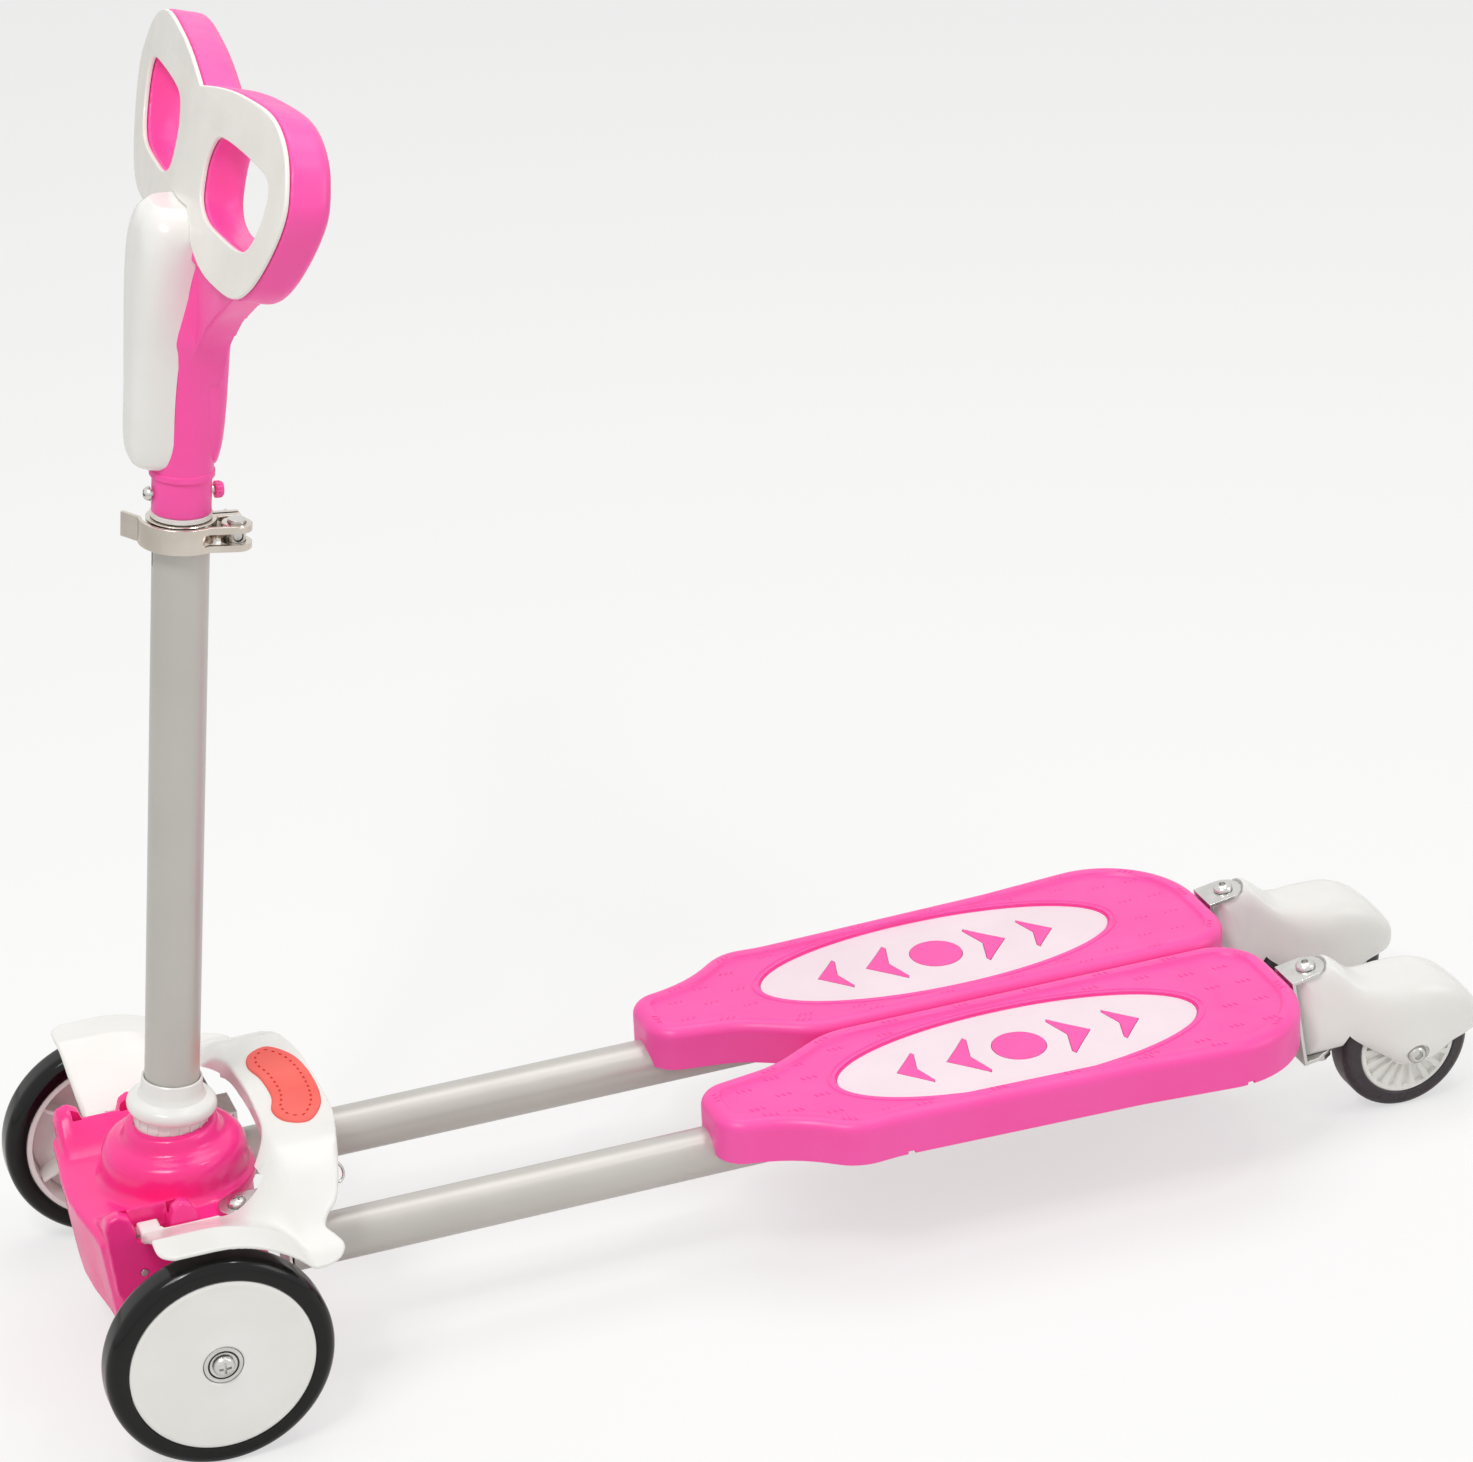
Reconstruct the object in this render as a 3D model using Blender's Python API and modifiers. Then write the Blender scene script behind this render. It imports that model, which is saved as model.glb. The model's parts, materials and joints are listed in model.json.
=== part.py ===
"""Four-wheel swing scooter for a child: two wheels in front, two footboards that swing apart.

Metres, +Z up. Travel is along -X, the rider's left is -Y. Lengths along X below are measured
from the front axle; the root empty then centres the scooter on the origin.
"""
import bpy
import bmesh
from math import radians, degrees, sin, cos, tan, pi, sqrt
from mathutils import Matrix, Vector
from mathutils.geometry import tessellate_polygon

# Fits
GAP = 0.0003
SIDES = (("left", -1), ("right", 1))

# Front wheels
FRONT_R = 0.060
FRONT_HALF_W = 0.0105
FRONT_Y = 0.1215
TYRE_DEPTH = 0.011
DISC_R = FRONT_R - TYRE_DEPTH
BEARING_R = 0.0105
AXLE_R = 0.0039
HEAD_R = 0.0065
HEAD_H = 0.0032

# Rear wheels and casters
REAR_R = 0.040
REAR_HALF_W = 0.0115
REAR_X = 0.7178
REAR_HUB_R = 0.0298
REAR_BORE_R = 0.0040
WELL_PLAY = 0.0025
BOSS_HALF = 0.0232
HOUSING_BACK = 0.0467
PIVOT_LEAN = radians(9.4)
PIVOT_X = REAR_X - 0.0568
PIVOT_Z = 0.0722
PLATE_T = 0.0022
PLATE_R = 0.0110
FORK_HALF = 0.0262
NECK_R = 0.0110
LOW_PLATE_R = 0.0082

# Legs and decks
LEG_Y = 0.052
LEG_Z = 0.070
LEG_R = 0.0135
LEG_WALL = 0.0018
LEG_BOLT_X = 0.0325
LEG_BOLT_R = 0.0038
LEG_WEB = 0.0215
DECK_FRONT = 0.2930
DECK_BACK = PIVOT_X - 0.0185
DECK_LENGTH = DECK_BACK - DECK_FRONT
DECK_WIDTH = 0.1225
DECK_TOP = 0.0990
DECK_BOTTOM = 0.0735
DECK_WALL = 0.0030
DECK_ROLL = 0.0065
TRAY_DEPTH = 0.0014
RIM = 0.0125
INLAY_TOP = 0.0955
INLAY_T = 0.0016
INLAY_X = DECK_FRONT + 0.523 * DECK_LENGTH
INLAY_Y = 0.0585
INLAY_A = 0.1075
INLAY_B = 0.0400
DOT_R = 0.0155

# Base housing
BASE_TOP = 0.1005
BASE_BOTTOM = 0.0480
BASE_HALF_Y = 0.0630
FRONT_LEAN = 0.108
ARM_END = 0.1070
DOME_X = 0.0118
DOME_R = 0.0400
COLLAR_BORE_R = 0.0200

# Stem, raked back from the vertical; heights along it start STEM_Z above the floor
STEM_X = 0.0143
STEM_Z = 0.150
RAKE = radians(6.46)
STEM_R = 0.0145
STEM_WALL = 0.0016
STEM_LOW = -0.060
STEM_TOP = 0.3222
INNER_R = 0.0125
INNER_WALL = 0.0014
INNER_LOW = 0.110
INNER_TOP = 0.425

# Clamp round the top of the stem tube
BAND_LOW = 0.3082
BAND_H = 0.0137
BAND_T = 0.0032
CAM_X = 0.0250
CAM_Y = -0.0130
CAM_R = 0.0078
CAM_PIN_R = 0.0046
LEVER_R = 0.0208
LEVER_T = 0.0020
CLAMP_BOLT_R = 0.0024

# Handle
GRIP_S = 0.500
GRIP_AHEAD = 0.0017
GRIP_TILT = radians(10.0)
GRIP_SWEEP = 0.060
GRIP_T = 0.0240
GRIP_EDGE = 0.0080
WEB_FRONT = 0.0026
WEB_BACK = 0.0150
FACE_T = 0.0024
NECK_LOW = 0.3251
SCREW_S = 0.3347

# Foot brake
FENDER_T = 0.0022
FENDER_R = FRONT_R + 0.0066 + FENDER_T
PEDAL_IN = 0.0640
PEDAL_OUT = 0.1305
PEDAL_TOP = 0.1370
PEDAL_T = 0.0120
SHELF_TOP = 0.1055
TAIL_TOP = 0.1050
HINGE_X = -0.0225
HINGE_Z = 0.0815
PIN_R = 0.0020
TONGUE_Y0 = 0.0535
TONGUE_Y1 = 0.0590
SLOT_PLAY = 0.0012

ORIGIN_X = (FRONT_R - REAR_X - HOUSING_BACK) / 2


def clear_scene():
    for item in list(bpy.data.objects):
        bpy.data.objects.remove(item, do_unlink=True)


clear_scene()
PARTS = bpy.data.collections.new("four_wheel_scooter")
CUTTERS = bpy.data.collections.new("cutters")
for collection in (PARTS, CUTTERS):
    bpy.context.scene.collection.children.link(collection)


def make_material(name, colour, roughness, metallic=0.0):
    material = bpy.data.materials.new(name)
    material.use_nodes = True
    material.diffuse_color = (*colour, 1.0)
    shader = material.node_tree.nodes["Principled BSDF"]
    shader.inputs["Base Color"].default_value = (*colour, 1.0)
    shader.inputs["Roughness"].default_value = roughness
    shader.inputs["Metallic"].default_value = metallic
    return material


HOT_PINK = make_material("hot_pink_plastic", (1.0, 0.11, 0.40), 0.42)
DEEP_PINK = make_material("deep_pink_plastic", (1.0, 0.04, 0.28), 0.30)
WHITE = make_material("white_plastic", (0.83, 0.83, 0.80), 0.30)
PALE_PINK = make_material("pale_inlay_plastic", (0.92, 0.78, 0.80), 0.45)
CORAL = make_material("coral_pad_rubber", (0.90, 0.13, 0.11), 0.55)
TYRE = make_material("black_tyre", (0.022, 0.020, 0.019), 0.28)
TUBE_GREY = make_material("silver_painted_tube", (0.55, 0.53, 0.49), 0.38, 0.35)
STEEL = make_material("zinc_plated_steel", (0.60, 0.60, 0.60), 0.32, 1.0)
NICKEL = make_material("nickel_plate", (0.62, 0.58, 0.52), 0.25, 1.0)


def empty(name, location, parent=None, turn=(0, 0, 0)):
    item = bpy.data.objects.new(name, None)
    item.location = location
    item.rotation_euler = turn
    item.empty_display_size = 0.02
    item.parent = parent
    PARTS.objects.link(item)
    return item


def place(item, parent, location=(0, 0, 0), turn=(0, 0, 0)):
    item.parent = parent
    item.location = location
    item.rotation_euler = turn
    return item


def as_part(item, material, smooth=35):
    """Show a solid as a sub-part, smooth over its shallow edges."""
    PARTS.objects.link(item)
    item.data.materials.clear()
    item.data.materials.append(material)
    item.data.shade_smooth()
    item.data.set_sharp_from_angle(angle=radians(smooth))
    return item


def as_cutter(item):
    CUTTERS.objects.link(item)
    item.hide_render = True
    item.display_type = "WIRE"
    return item


def combine(item, other, how):
    """Join or cut with a guide solid, which keeps its own place."""
    if other.name not in CUTTERS.objects:
        as_cutter(other)
    step = item.modifiers.new(how.lower() + "_" + other.name, "BOOLEAN")
    step.operation = how
    step.solver = "EXACT"
    step.object = other
    return item


def cut(item, *others):
    for other in others:
        combine(item, other, "DIFFERENCE")
    return item


def join(item, *others):
    for other in others:
        combine(item, other, "UNION")
    return item


def mesh_item(name, maker):
    """An object whose mesh a bmesh function fills."""
    mesh = bpy.data.meshes.new(name)
    shape = bmesh.new()
    maker(shape)
    bmesh.ops.recalc_face_normals(shape, faces=shape.faces)
    shape.to_mesh(mesh)
    shape.free()
    return bpy.data.objects.new(name, mesh)


def box(name, low, high):
    middle = [(a + b) / 2 for a, b in zip(low, high)]
    size = [b - a for a, b in zip(low, high)]

    def fill(shape):
        spot = Matrix.Translation(middle) @ Matrix.Diagonal((*size, 1.0))
        bmesh.ops.create_cube(shape, size=1.0, matrix=spot)

    return mesh_item(name, fill)


def rod(name, radius, start, end, axis="Z", centre=(0, 0), sides=24):
    """A plain cylinder along one axis; centre gives the other two coordinates in XYZ order."""
    half = (end - start) / 2
    middle = (start + end) / 2
    turns = {"X": Matrix.Rotation(pi / 2, 4, "Y"), "Y": Matrix.Rotation(pi / 2, 4, "X"), "Z": Matrix()}
    spots = {"X": (middle, *centre), "Y": (centre[0], middle, centre[1]), "Z": (*centre, middle)}

    def fill(shape):
        spot = Matrix.Translation(spots[axis]) @ turns[axis]
        bmesh.ops.create_cone(shape, cap_ends=True, segments=sides, radius1=radius, radius2=radius,
                              depth=2 * half, matrix=spot)

    return mesh_item(name, fill)


def turned(name, profile, steps=32, ring=False):
    """A profile of (radius, height) points turned about Z; a ring profile closes on itself."""
    mesh = bpy.data.meshes.new(name)
    shape = bmesh.new()
    points = [shape.verts.new((r, 0, z)) for r, z in profile]
    for first, second in zip(points, points[1:]):
        shape.edges.new((first, second))
    if ring:
        shape.edges.new((points[-1], points[0]))
    shape.to_mesh(mesh)
    shape.free()
    item = bpy.data.objects.new(name, mesh)
    screw = item.modifiers.new("turn", "SCREW")
    screw.steps = steps
    screw.render_steps = steps
    screw.use_merge_vertices = True
    screw.merge_threshold = 0.00001
    return item


def arc(radius, start, end, count, centre=(0, 0)):
    """Points on an arc, angles in degrees."""
    angles = [radians(start + (end - start) * i / (count - 1)) for i in range(count)]
    return [(centre[0] + radius * cos(a), centre[1] + radius * sin(a)) for a in angles]


def smooth_path(points, steps=4, closed=True):
    """A Catmull-Rom curve through points; a point marked with a third value stays a corner."""
    count = len(points)
    spans = count if closed else count - 1
    path = []
    for i in range(spans):
        p1, p2 = points[i], points[(i + 1) % count]
        p0 = points[i - 1] if (closed or i > 0) else p1
        p3 = points[(i + 2) % count] if (closed or i + 2 < count) else p2
        if len(p1) > 2:
            p0 = p1
        if len(p2) > 2:
            p3 = p2
        if len(p1) > 2 and len(p2) > 2:
            path.append((p1[0], p1[1]))
            continue
        for j in range(steps):
            t = j / steps
            path.append(tuple(0.5 * (2 * b + (c - a) * t + (2 * a - 5 * b + 4 * c - d) * t * t
                                     + (3 * b - a - 3 * c + d) * t ** 3)
                              for a, b, c, d in zip(p0[:2], p1[:2], p2[:2], p3[:2])))
    if not closed:
        path.append((points[-1][0], points[-1][1]))
    return path


def filleted(corners, turn=18):
    """A polygon of (x, y, radius) corners, each rounded by an arc with a point every few degrees."""
    path = []
    for i, (x, y, radius) in enumerate(corners):
        here = Vector((x, y))
        before = (Vector(corners[i - 1][:2]) - here).normalized()
        after = (Vector(corners[(i + 1) % len(corners)][:2]) - here).normalized()
        half = before.angle(after) / 2
        centre = here + (before + after).normalized() * (radius / sin(half))
        start = here + before * (radius / tan(half)) - centre
        end = here + after * (radius / tan(half)) - centre
        count = max(2, round(degrees(pi - 2 * half) / turn) + 1)
        sweep = start.angle_signed(end)
        for j in range(count):
            spoke = Matrix.Rotation(-sweep * j / (count - 1), 2) @ start
            path.append((centre.x + spoke.x, centre.y + spoke.y))
    return path


def slab(name, loops, low, high, round_edge=0.0, grow=0.0, facets=2):
    """A flat outline, with holes, given thickness along Z and rounded edges."""
    curve = bpy.data.curves.new(name, "CURVE")
    curve.dimensions = "2D"
    curve.fill_mode = "BOTH"
    curve.extrude = (high - low) / 2 - round_edge
    curve.bevel_depth = round_edge
    curve.bevel_resolution = facets
    curve.offset = grow - round_edge
    for loop in loops:
        spline = curve.splines.new("POLY")
        spline.points.add(len(loop) - 1)
        for point, (x, y) in zip(spline.points, loop):
            point.co = (x, y, 0, 1)
        spline.use_cyclic_u = True
    item = bpy.data.objects.new(name, curve)
    bpy.context.scene.collection.objects.link(item)
    bpy.context.view_layer.update()
    graph = bpy.context.evaluated_depsgraph_get()
    mesh = bpy.data.meshes.new_from_object(item.evaluated_get(graph))
    bpy.data.objects.remove(item, do_unlink=True)
    mesh.name = name
    mesh.transform(Matrix.Translation((0, 0, (low + high) / 2)))
    shape = bmesh.new()
    shape.from_mesh(mesh)
    bmesh.ops.remove_doubles(shape, verts=shape.verts, dist=0.000005)
    bmesh.ops.dissolve_degenerate(shape, dist=0.000002, edges=shape.edges)
    bmesh.ops.recalc_face_normals(shape, faces=shape.faces)
    shape.to_mesh(mesh)
    shape.free()
    return bpy.data.objects.new(name, mesh)


def loft(name, rings):
    """A closed skin over rings with equal point counts, with a flat cap at each end."""
    def fill(shape):
        rows = [[shape.verts.new(point) for point in ring] for ring in rings]
        for lower, upper in zip(rows, rows[1:]):
            for i in range(len(lower)):
                j = (i + 1) % len(lower)
                shape.faces.new((lower[i], lower[j], upper[j], upper[i]))
        bmesh.ops.triangulate(shape, faces=shape.faces)
        shape.faces.new(rows[0][::-1])
        shape.faces.new(rows[-1])

    return mesh_item(name, fill)


def inset_loop(points, amount):
    """The outline moved inward by an amount, with mitred corners; a point on Y = 0 stays there."""
    area = sum(a[0] * b[1] - b[0] * a[1] for a, b in zip(points, points[1:] + points[:1]))
    amount = amount if area > 0 else -amount
    moved = []
    for i, here in enumerate(points):
        before, after = points[i - 1], points[(i + 1) % len(points)]
        first = Vector((before[1] - here[1], here[0] - before[0])).normalized()
        second = Vector((here[1] - after[1], after[0] - here[0])).normalized()
        reach = (first + second) * (amount / (1 + first.dot(second)))
        moved.append((here[0] + reach.x, here[1] + reach.y))
    return moved


def stacked(name, loops, path, half=False):
    """A flat outline with holes whose wall follows a path of (height, inset) steps from cap to cap."""
    def fill(shape):
        levels = []
        for z, inset in path:
            rows = []
            for number, loop in enumerate(loops):
                moved = inset_loop(loop, inset if number == 0 else -inset)
                if half:
                    moved = [(0.0, m[1]) if abs(p[0]) < 1e-7 else m for p, m in zip(loop, moved)]
                rows.append([shape.verts.new((x, y, z)) for x, y in moved])
            levels.append(rows)
        for rows in (levels[0], levels[-1]):
            if len(rows) == 1:
                shape.faces.new(rows[0])
                continue
            flat = [vert for row in rows for vert in row]
            for corners in tessellate_polygon([[vert.co for vert in row] for row in rows]):
                shape.faces.new([flat[i] for i in corners])
        for lower, upper in zip(levels, levels[1:]):
            for first, second in zip(lower, upper):
                for i in range(len(first)):
                    j = (i + 1) % len(first)
                    if half and max(abs(first[i].co.x), abs(first[j].co.x)) < 1e-7:
                        continue
                    shape.faces.new((first[i], first[j], second[j], second[i]))

    return mesh_item(name, fill)


def rounded(high, low, radius, corner=3):
    """Wall steps from a flat top down to low, over a rounded upper edge."""
    steps = [(high - radius + radius * cos(pi / 2 * i / corner), radius - radius * sin(pi / 2 * i / corner))
             for i in range(corner + 1)]
    return steps + [(low, 0.0)]


def turn_mesh(item, matrix):
    """Turn a solid's mesh inside its own frame."""
    item.data.transform(matrix)
    if matrix.determinant() < 0:
        item.data.flip_normals()
    return item


UPRIGHT_XZ = Matrix.Rotation(pi / 2, 4, "X")
FACE_FRAME = Matrix(((0, 0, -1, 0), (-1, 0, 0, 0), (0, 1, 0, 0), (0, 0, 0, 1)))


def across(item):
    """Lay a slab drawn in X and Y upright, so that its Y is up and its thickness runs along Y."""
    return turn_mesh(item, UPRIGHT_XZ)


root = empty("scooter_origin", (ORIGIN_X, 0, 0))
stem = empty("stem_axis", (STEM_X, 0, STEM_Z), root, (0, RAKE, 0))


# Base housing: a hollow moulded block with a stepped dome, two end humps and two axle arms
def base_plan():
    """The block from above, round behind the dome, with a cut corner beside each front edge."""
    front = [(-0.0485, 0.0), (-0.0475, 0.0180), (-0.0445, 0.0400), (-0.0432, 0.0570), (-0.0390, BASE_HALF_Y)]
    side = [(0.0130, BASE_HALF_Y), (0.0210, 0.0560)]
    rear = arc(DOME_R, 64, 12, 5, (DOME_X, 0)) + [(DOME_X + DOME_R, 0.0)]
    half = front + side + rear
    return half + [(x, -y) for x, y in half[-2:0:-1]]


def dome_profile():
    top = 0.1320
    crown = [(COLLAR_BORE_R + 0.0015, top), (0.0245, 0.1298), (0.0268, 0.1240), (0.0290, 0.1218)]
    shoulder = [(0.0332, 0.1210), (0.0368, 0.1190), (0.0388, 0.1145), (0.0394, 0.1080), (DOME_R, 0.1045)]
    foot = [(DOME_R + 0.0022, 0.1012), (DOME_R + 0.0022, 0.0960)]
    return [(0, top)] + crown + shoulder + foot + [(0, 0.0960)]


def lobes(name, sign):
    """Two raised cheeks at the end of the block that hold the pedal's hinge between them."""
    foot = 0.0700
    level = BASE_TOP - 0.0015
    ahead = [(-0.0375, foot), (-0.0398, level), (-0.0406, 0.1100), (-0.0385, 0.1160), (-0.0325, 0.1180),
             (-0.0270, 0.1150), (-0.0246, 0.1070), (-0.0245, 0.1006)]
    behind = [(-0.0065, 0.1006), (-0.0062, 0.1070), (-0.0040, 0.1150), (0.0010, 0.1180), (0.0055, 0.1155),
              (0.0085, 0.1090), (0.0105, level), (0.0108, foot)]
    profile = ahead + behind
    rings = []
    for y, rise in ((BASE_HALF_Y + 0.0003, 0.93), (BASE_HALF_Y - 0.0020, 1.0), (0.0540, 0.88), (0.0450, 0.48),
                    (0.0345, 0.0)):
        rings.append([(x, sign * y, level + (z - level) * rise if z > level else z) for x, z in profile])
    return loft(name, rings)


def side_plate(name, outline, sign, low, high):
    """A block upright in the X and Z plane between two distances from the middle."""
    item = across(slab(name, [outline], -high, -low))
    return turn_mesh(item, Matrix.Diagonal((1, sign, 1, 1)))


def base_housing():
    body = slab("base_housing", [base_plan()], BASE_BOTTOM, BASE_TOP, 0.003, facets=1)
    for vert in body.data.vertices:
        if vert.co.x < HINGE_X:
            vert.co.x += (BASE_TOP - vert.co.z) * FRONT_LEAN
    as_part(body, DEEP_PINK)
    place(body, root)
    for side, sign in SIDES:
        join(body, place(lobes("lobes_" + side, sign), root))
        barrel = place(rod("barrel_" + side, 0.0130, BASE_BOTTOM + GAP, BASE_TOP - GAP,
                           "Z", (LEG_BOLT_X, sign * LEG_Y), 16), root)
        join(body, barrel)
        taper = [(0, 0), (0.0110, 0), (0.0120, -0.002), (0.0165, -0.050), (0, -0.050)]
        arm = turned("axle_arm_" + side, taper, 14)
        place(arm, root, (0, sign * ARM_END, FRONT_R), (-sign * pi / 2, 0, 0))
        join(body, arm)
    join(body, place(turned("dome", dome_profile(), 22), root, (DOME_X, 0, 0)))
    cut(body, place(rod("collar_bore", COLLAR_BORE_R, STEM_LOW - 0.003, 0.010, "Z", (0, 0), 26), stem))
    slot_outline = [(-0.0305, 0.0725), (-0.0130, 0.0720), (-0.0065, 0.0990), (-0.0065, 0.1300),
                    (-0.0245, 0.1300), (-0.0245, 0.1000), (-0.0305, 0.0880)]
    for side, sign in SIDES:
        below = BASE_BOTTOM - 0.005
        pocket = box("pocket_" + side, (-0.0380, 0.0235, below), (0.0150, 0.0480, BASE_TOP - 0.006))
        nook = box("rear_pocket_" + side, (0.0230, 0.0020, below), (0.0400, 0.0240, BASE_TOP - 0.012))
        sockets = [box("lug_hole_%s_%d" % (side, i), (x, 0.0500, 0.0960), (x + 0.0050, 0.0560, 0.1300))
                   for i, x in enumerate((-0.0315, -0.0055))]
        slot = side_plate("tongue_slot_" + side, slot_outline, 1,
                          TONGUE_Y0 - SLOT_PLAY, TONGUE_Y1 + SLOT_PLAY)
        for tool in (pocket, slot, nook, *sockets):
            turn_mesh(tool, Matrix.Diagonal((1, sign, 1, 1)))
            cut(body, place(tool, root))
        cut(body, place(rod("leg_bolt_hole_" + side, LEG_BOLT_R + GAP, 0.03, 0.12, "Z",
                            (LEG_BOLT_X, sign * LEG_Y), 12), root))
        ends = sorted((sign * 0.060, sign * (ARM_END + 0.01)))
        cut(body, place(rod("axle_hole_" + side, AXLE_R + GAP, *ends, "Y", (0, FRONT_R), 12), root))
        ends = sorted((sign * (TONGUE_Y0 - 0.006), sign * (BASE_HALF_Y + 0.01)))
        cut(body, place(rod("pin_hole_" + side, PIN_R + GAP, *ends, "Y", (HINGE_X, HINGE_Z), 12), root))
    return body


# Stem: white collar, raked tube, clamp
def stem_parts():
    inner = STEM_R + GAP
    plug_r = COLLAR_BORE_R - GAP
    profile = [(inner, 0.0072), (STEM_R + 0.0014, 0.0072), (STEM_R + 0.0020, 0.0010), (STEM_R + 0.0034, -0.0030),
               (0.0222, -0.0050), (0.0236, -0.0068), (0.0238, -0.0100), (0.0220, -0.0124), (plug_r, -0.0132),
               (plug_r, -0.0560), (inner, -0.0560)]
    as_part(place(turned("stem_collar", profile, 20, True), stem), WHITE)
    bore = STEM_R - STEM_WALL
    tube = turned("stem_tube", [(STEM_R, STEM_TOP), (STEM_R, STEM_LOW), (bore, STEM_LOW), (bore, STEM_TOP)], 20, True)
    as_part(place(tube, stem), TUBE_GREY)
    slit_low = BAND_LOW - 0.006
    cut(tube, place(box("stem_slit", (-0.03, -0.0009, slit_low), (0, 0.0009, STEM_TOP + 0.01)), stem))
    inner_bore = INNER_R - INNER_WALL
    rise = [(INNER_R, INNER_TOP), (INNER_R, INNER_LOW), (inner_bore, INNER_LOW), (inner_bore, INNER_TOP)]
    inner_tube = as_part(place(turned("inner_tube", rise, 20, True), stem), STEEL)
    cut(inner_tube, place(rod("screw_hole_inner", 0.0024, -0.03, 0.03, "X", (0, SCREW_S), 12), stem))
    bush = [(STEM_R + 0.0010, NECK_LOW - GAP), (STEM_R + 0.0010, STEM_TOP + GAP),
            (INNER_R + GAP, STEM_TOP + GAP), (INNER_R + GAP, NECK_LOW - GAP)]
    as_part(place(turned("stem_bush", bush, 18, True), stem), WHITE)


def clamp_parts():
    top = BAND_LOW + BAND_H
    mid = (BAND_LOW + top) / 2
    inner, outer = STEM_R + GAP, STEM_R + BAND_T
    ear = 0.0044
    band = as_part(place(turned("clamp_band", [(outer, top), (outer, BAND_LOW), (inner, BAND_LOW), (inner, top)],
                                18, True), stem), NICKEL)
    ears = box("clamp_ears", (STEM_R + 0.001, -ear, BAND_LOW), (0.0300, ear, top))
    join(band, place(ears, stem))
    cut(band, place(box("clamp_slit", (0.010, -0.0008, BAND_LOW - 0.01), (0.040, 0.0008, top + 0.01)), stem))
    cut(band, place(rod("clamp_bolt_hole", CLAMP_BOLT_R + GAP, -0.02, 0.02, "Y", (CAM_X, mid), 16), stem))
    pin = as_part(place(rod("cam_pin", CAM_PIN_R, BAND_LOW + 0.0003, top + 0.0016, "Z", (CAM_X, CAM_Y), 14), stem), STEEL)
    cut(pin, place(rod("cam_pin_hole", CLAMP_BOLT_R + GAP, CAM_Y - 0.010, 0.02, "Y", (CAM_X, mid), 16), stem))
    bolt = as_part(place(rod("clamp_bolt", CLAMP_BOLT_R, CAM_Y - 0.0030, 0.0125, "Y", (CAM_X, mid), 16), stem), STEEL)
    nut = as_part(place(rod("clamp_nut", 0.0052, ear + GAP, 0.0100, "Y", (CAM_X, mid), 6), stem), STEEL)
    cut(nut, place(rod("clamp_nut_hole", CLAMP_BOLT_R + GAP, 0, 0.02, "Y", (CAM_X, mid), 16), stem))
    return bolt


def clamp_lever():
    """A strip that starts at the cam, wraps the near side of the tube and flares out in front."""
    top = BAND_LOW + BAND_H
    mid = (BAND_LOW + top) / 2
    pivot = empty("lever_axis", (CAM_X, CAM_Y, 0), stem)
    wrap = arc(LEVER_R, -62, -190, 9)
    tip = [(-0.0238, 0.0085), (-0.0270, 0.0130)]
    line = [(CAM_X - 0.001, CAM_Y - CAM_R + LEVER_T / 2)] + wrap + tip
    sides = ([], [])
    for i, point in enumerate(line):
        before, after = line[max(i - 1, 0)], line[min(i + 1, len(line) - 1)]
        along = Vector((after[0] - before[0], after[1] - before[1])).normalized()
        for side, reach in zip(sides, (LEVER_T / 2, -LEVER_T / 2)):
            side.append((point[0] - along.y * reach - CAM_X, point[1] + along.x * reach - CAM_Y))
    lever = slab("clamp_lever", [sides[0] + sides[1][::-1]], BAND_LOW + 0.0002, top - 0.0002)
    as_part(place(lever, pivot), NICKEL)
    join(lever, place(rod("cam_head", CAM_R, BAND_LOW + 0.0002, top - 0.0002, "Z", (0, 0), 16), pivot))
    cut(lever, place(rod("cam_bore", CAM_PIN_R + GAP, BAND_LOW - 0.01, top + 0.01, "Z", (0, 0), 14), pivot))
    window = box("lever_window", (-0.0190, -0.0200, mid - 0.0030), (0.0120, 0.0120, mid + 0.0030))
    cut(lever, place(window, pivot))
    return lever


# Handle: two loops swept and tilted back, on a neck that the inner tube runs up into
def grip_point(y, s):
    return (y, (s - GRIP_S) / cos(GRIP_TILT))


def wing_outline(face):
    step = 0.0 if face else 0.0006
    top = [(0.0, 0.5415 + step, 1), (0.0300, 0.5483 + step), (0.0600, 0.5525 + step), (0.0980, 0.5540 + step),
           (0.1225 + step, 0.5450), (0.1350 + step, 0.5280), (0.1362 + step, 0.5140), (0.1270 + step, 0.4945),
           (0.1120, 0.4760 - step), (0.0940, 0.4658 - step), (0.0660, 0.4635 - step)]
    if face:
        low = [(0.0470, 0.4648), (0.0320, 0.4695), (0.0160, 0.4778), (0.0, 0.4815, 1)]
    else:
        low = [(0.0400, 0.4628), (0.0, 0.4628, 1)]
    return [grip_point(*p[:2]) for p in smooth_path(top + low, 2)]


def hole_outline():
    points = [(0.0278, 0.5155), (0.0350, 0.5250), (0.0480, 0.5283), (0.0780, 0.5292), (0.1060, 0.5280),
              (0.1140, 0.5215), (0.1115, 0.5070), (0.1030, 0.4935), (0.0900, 0.4878), (0.0620, 0.4866),
              (0.0420, 0.4876), (0.0300, 0.4935), (0.0266, 0.5050)]
    return [grip_point(*p) for p in smooth_path(points, 2)]


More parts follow.
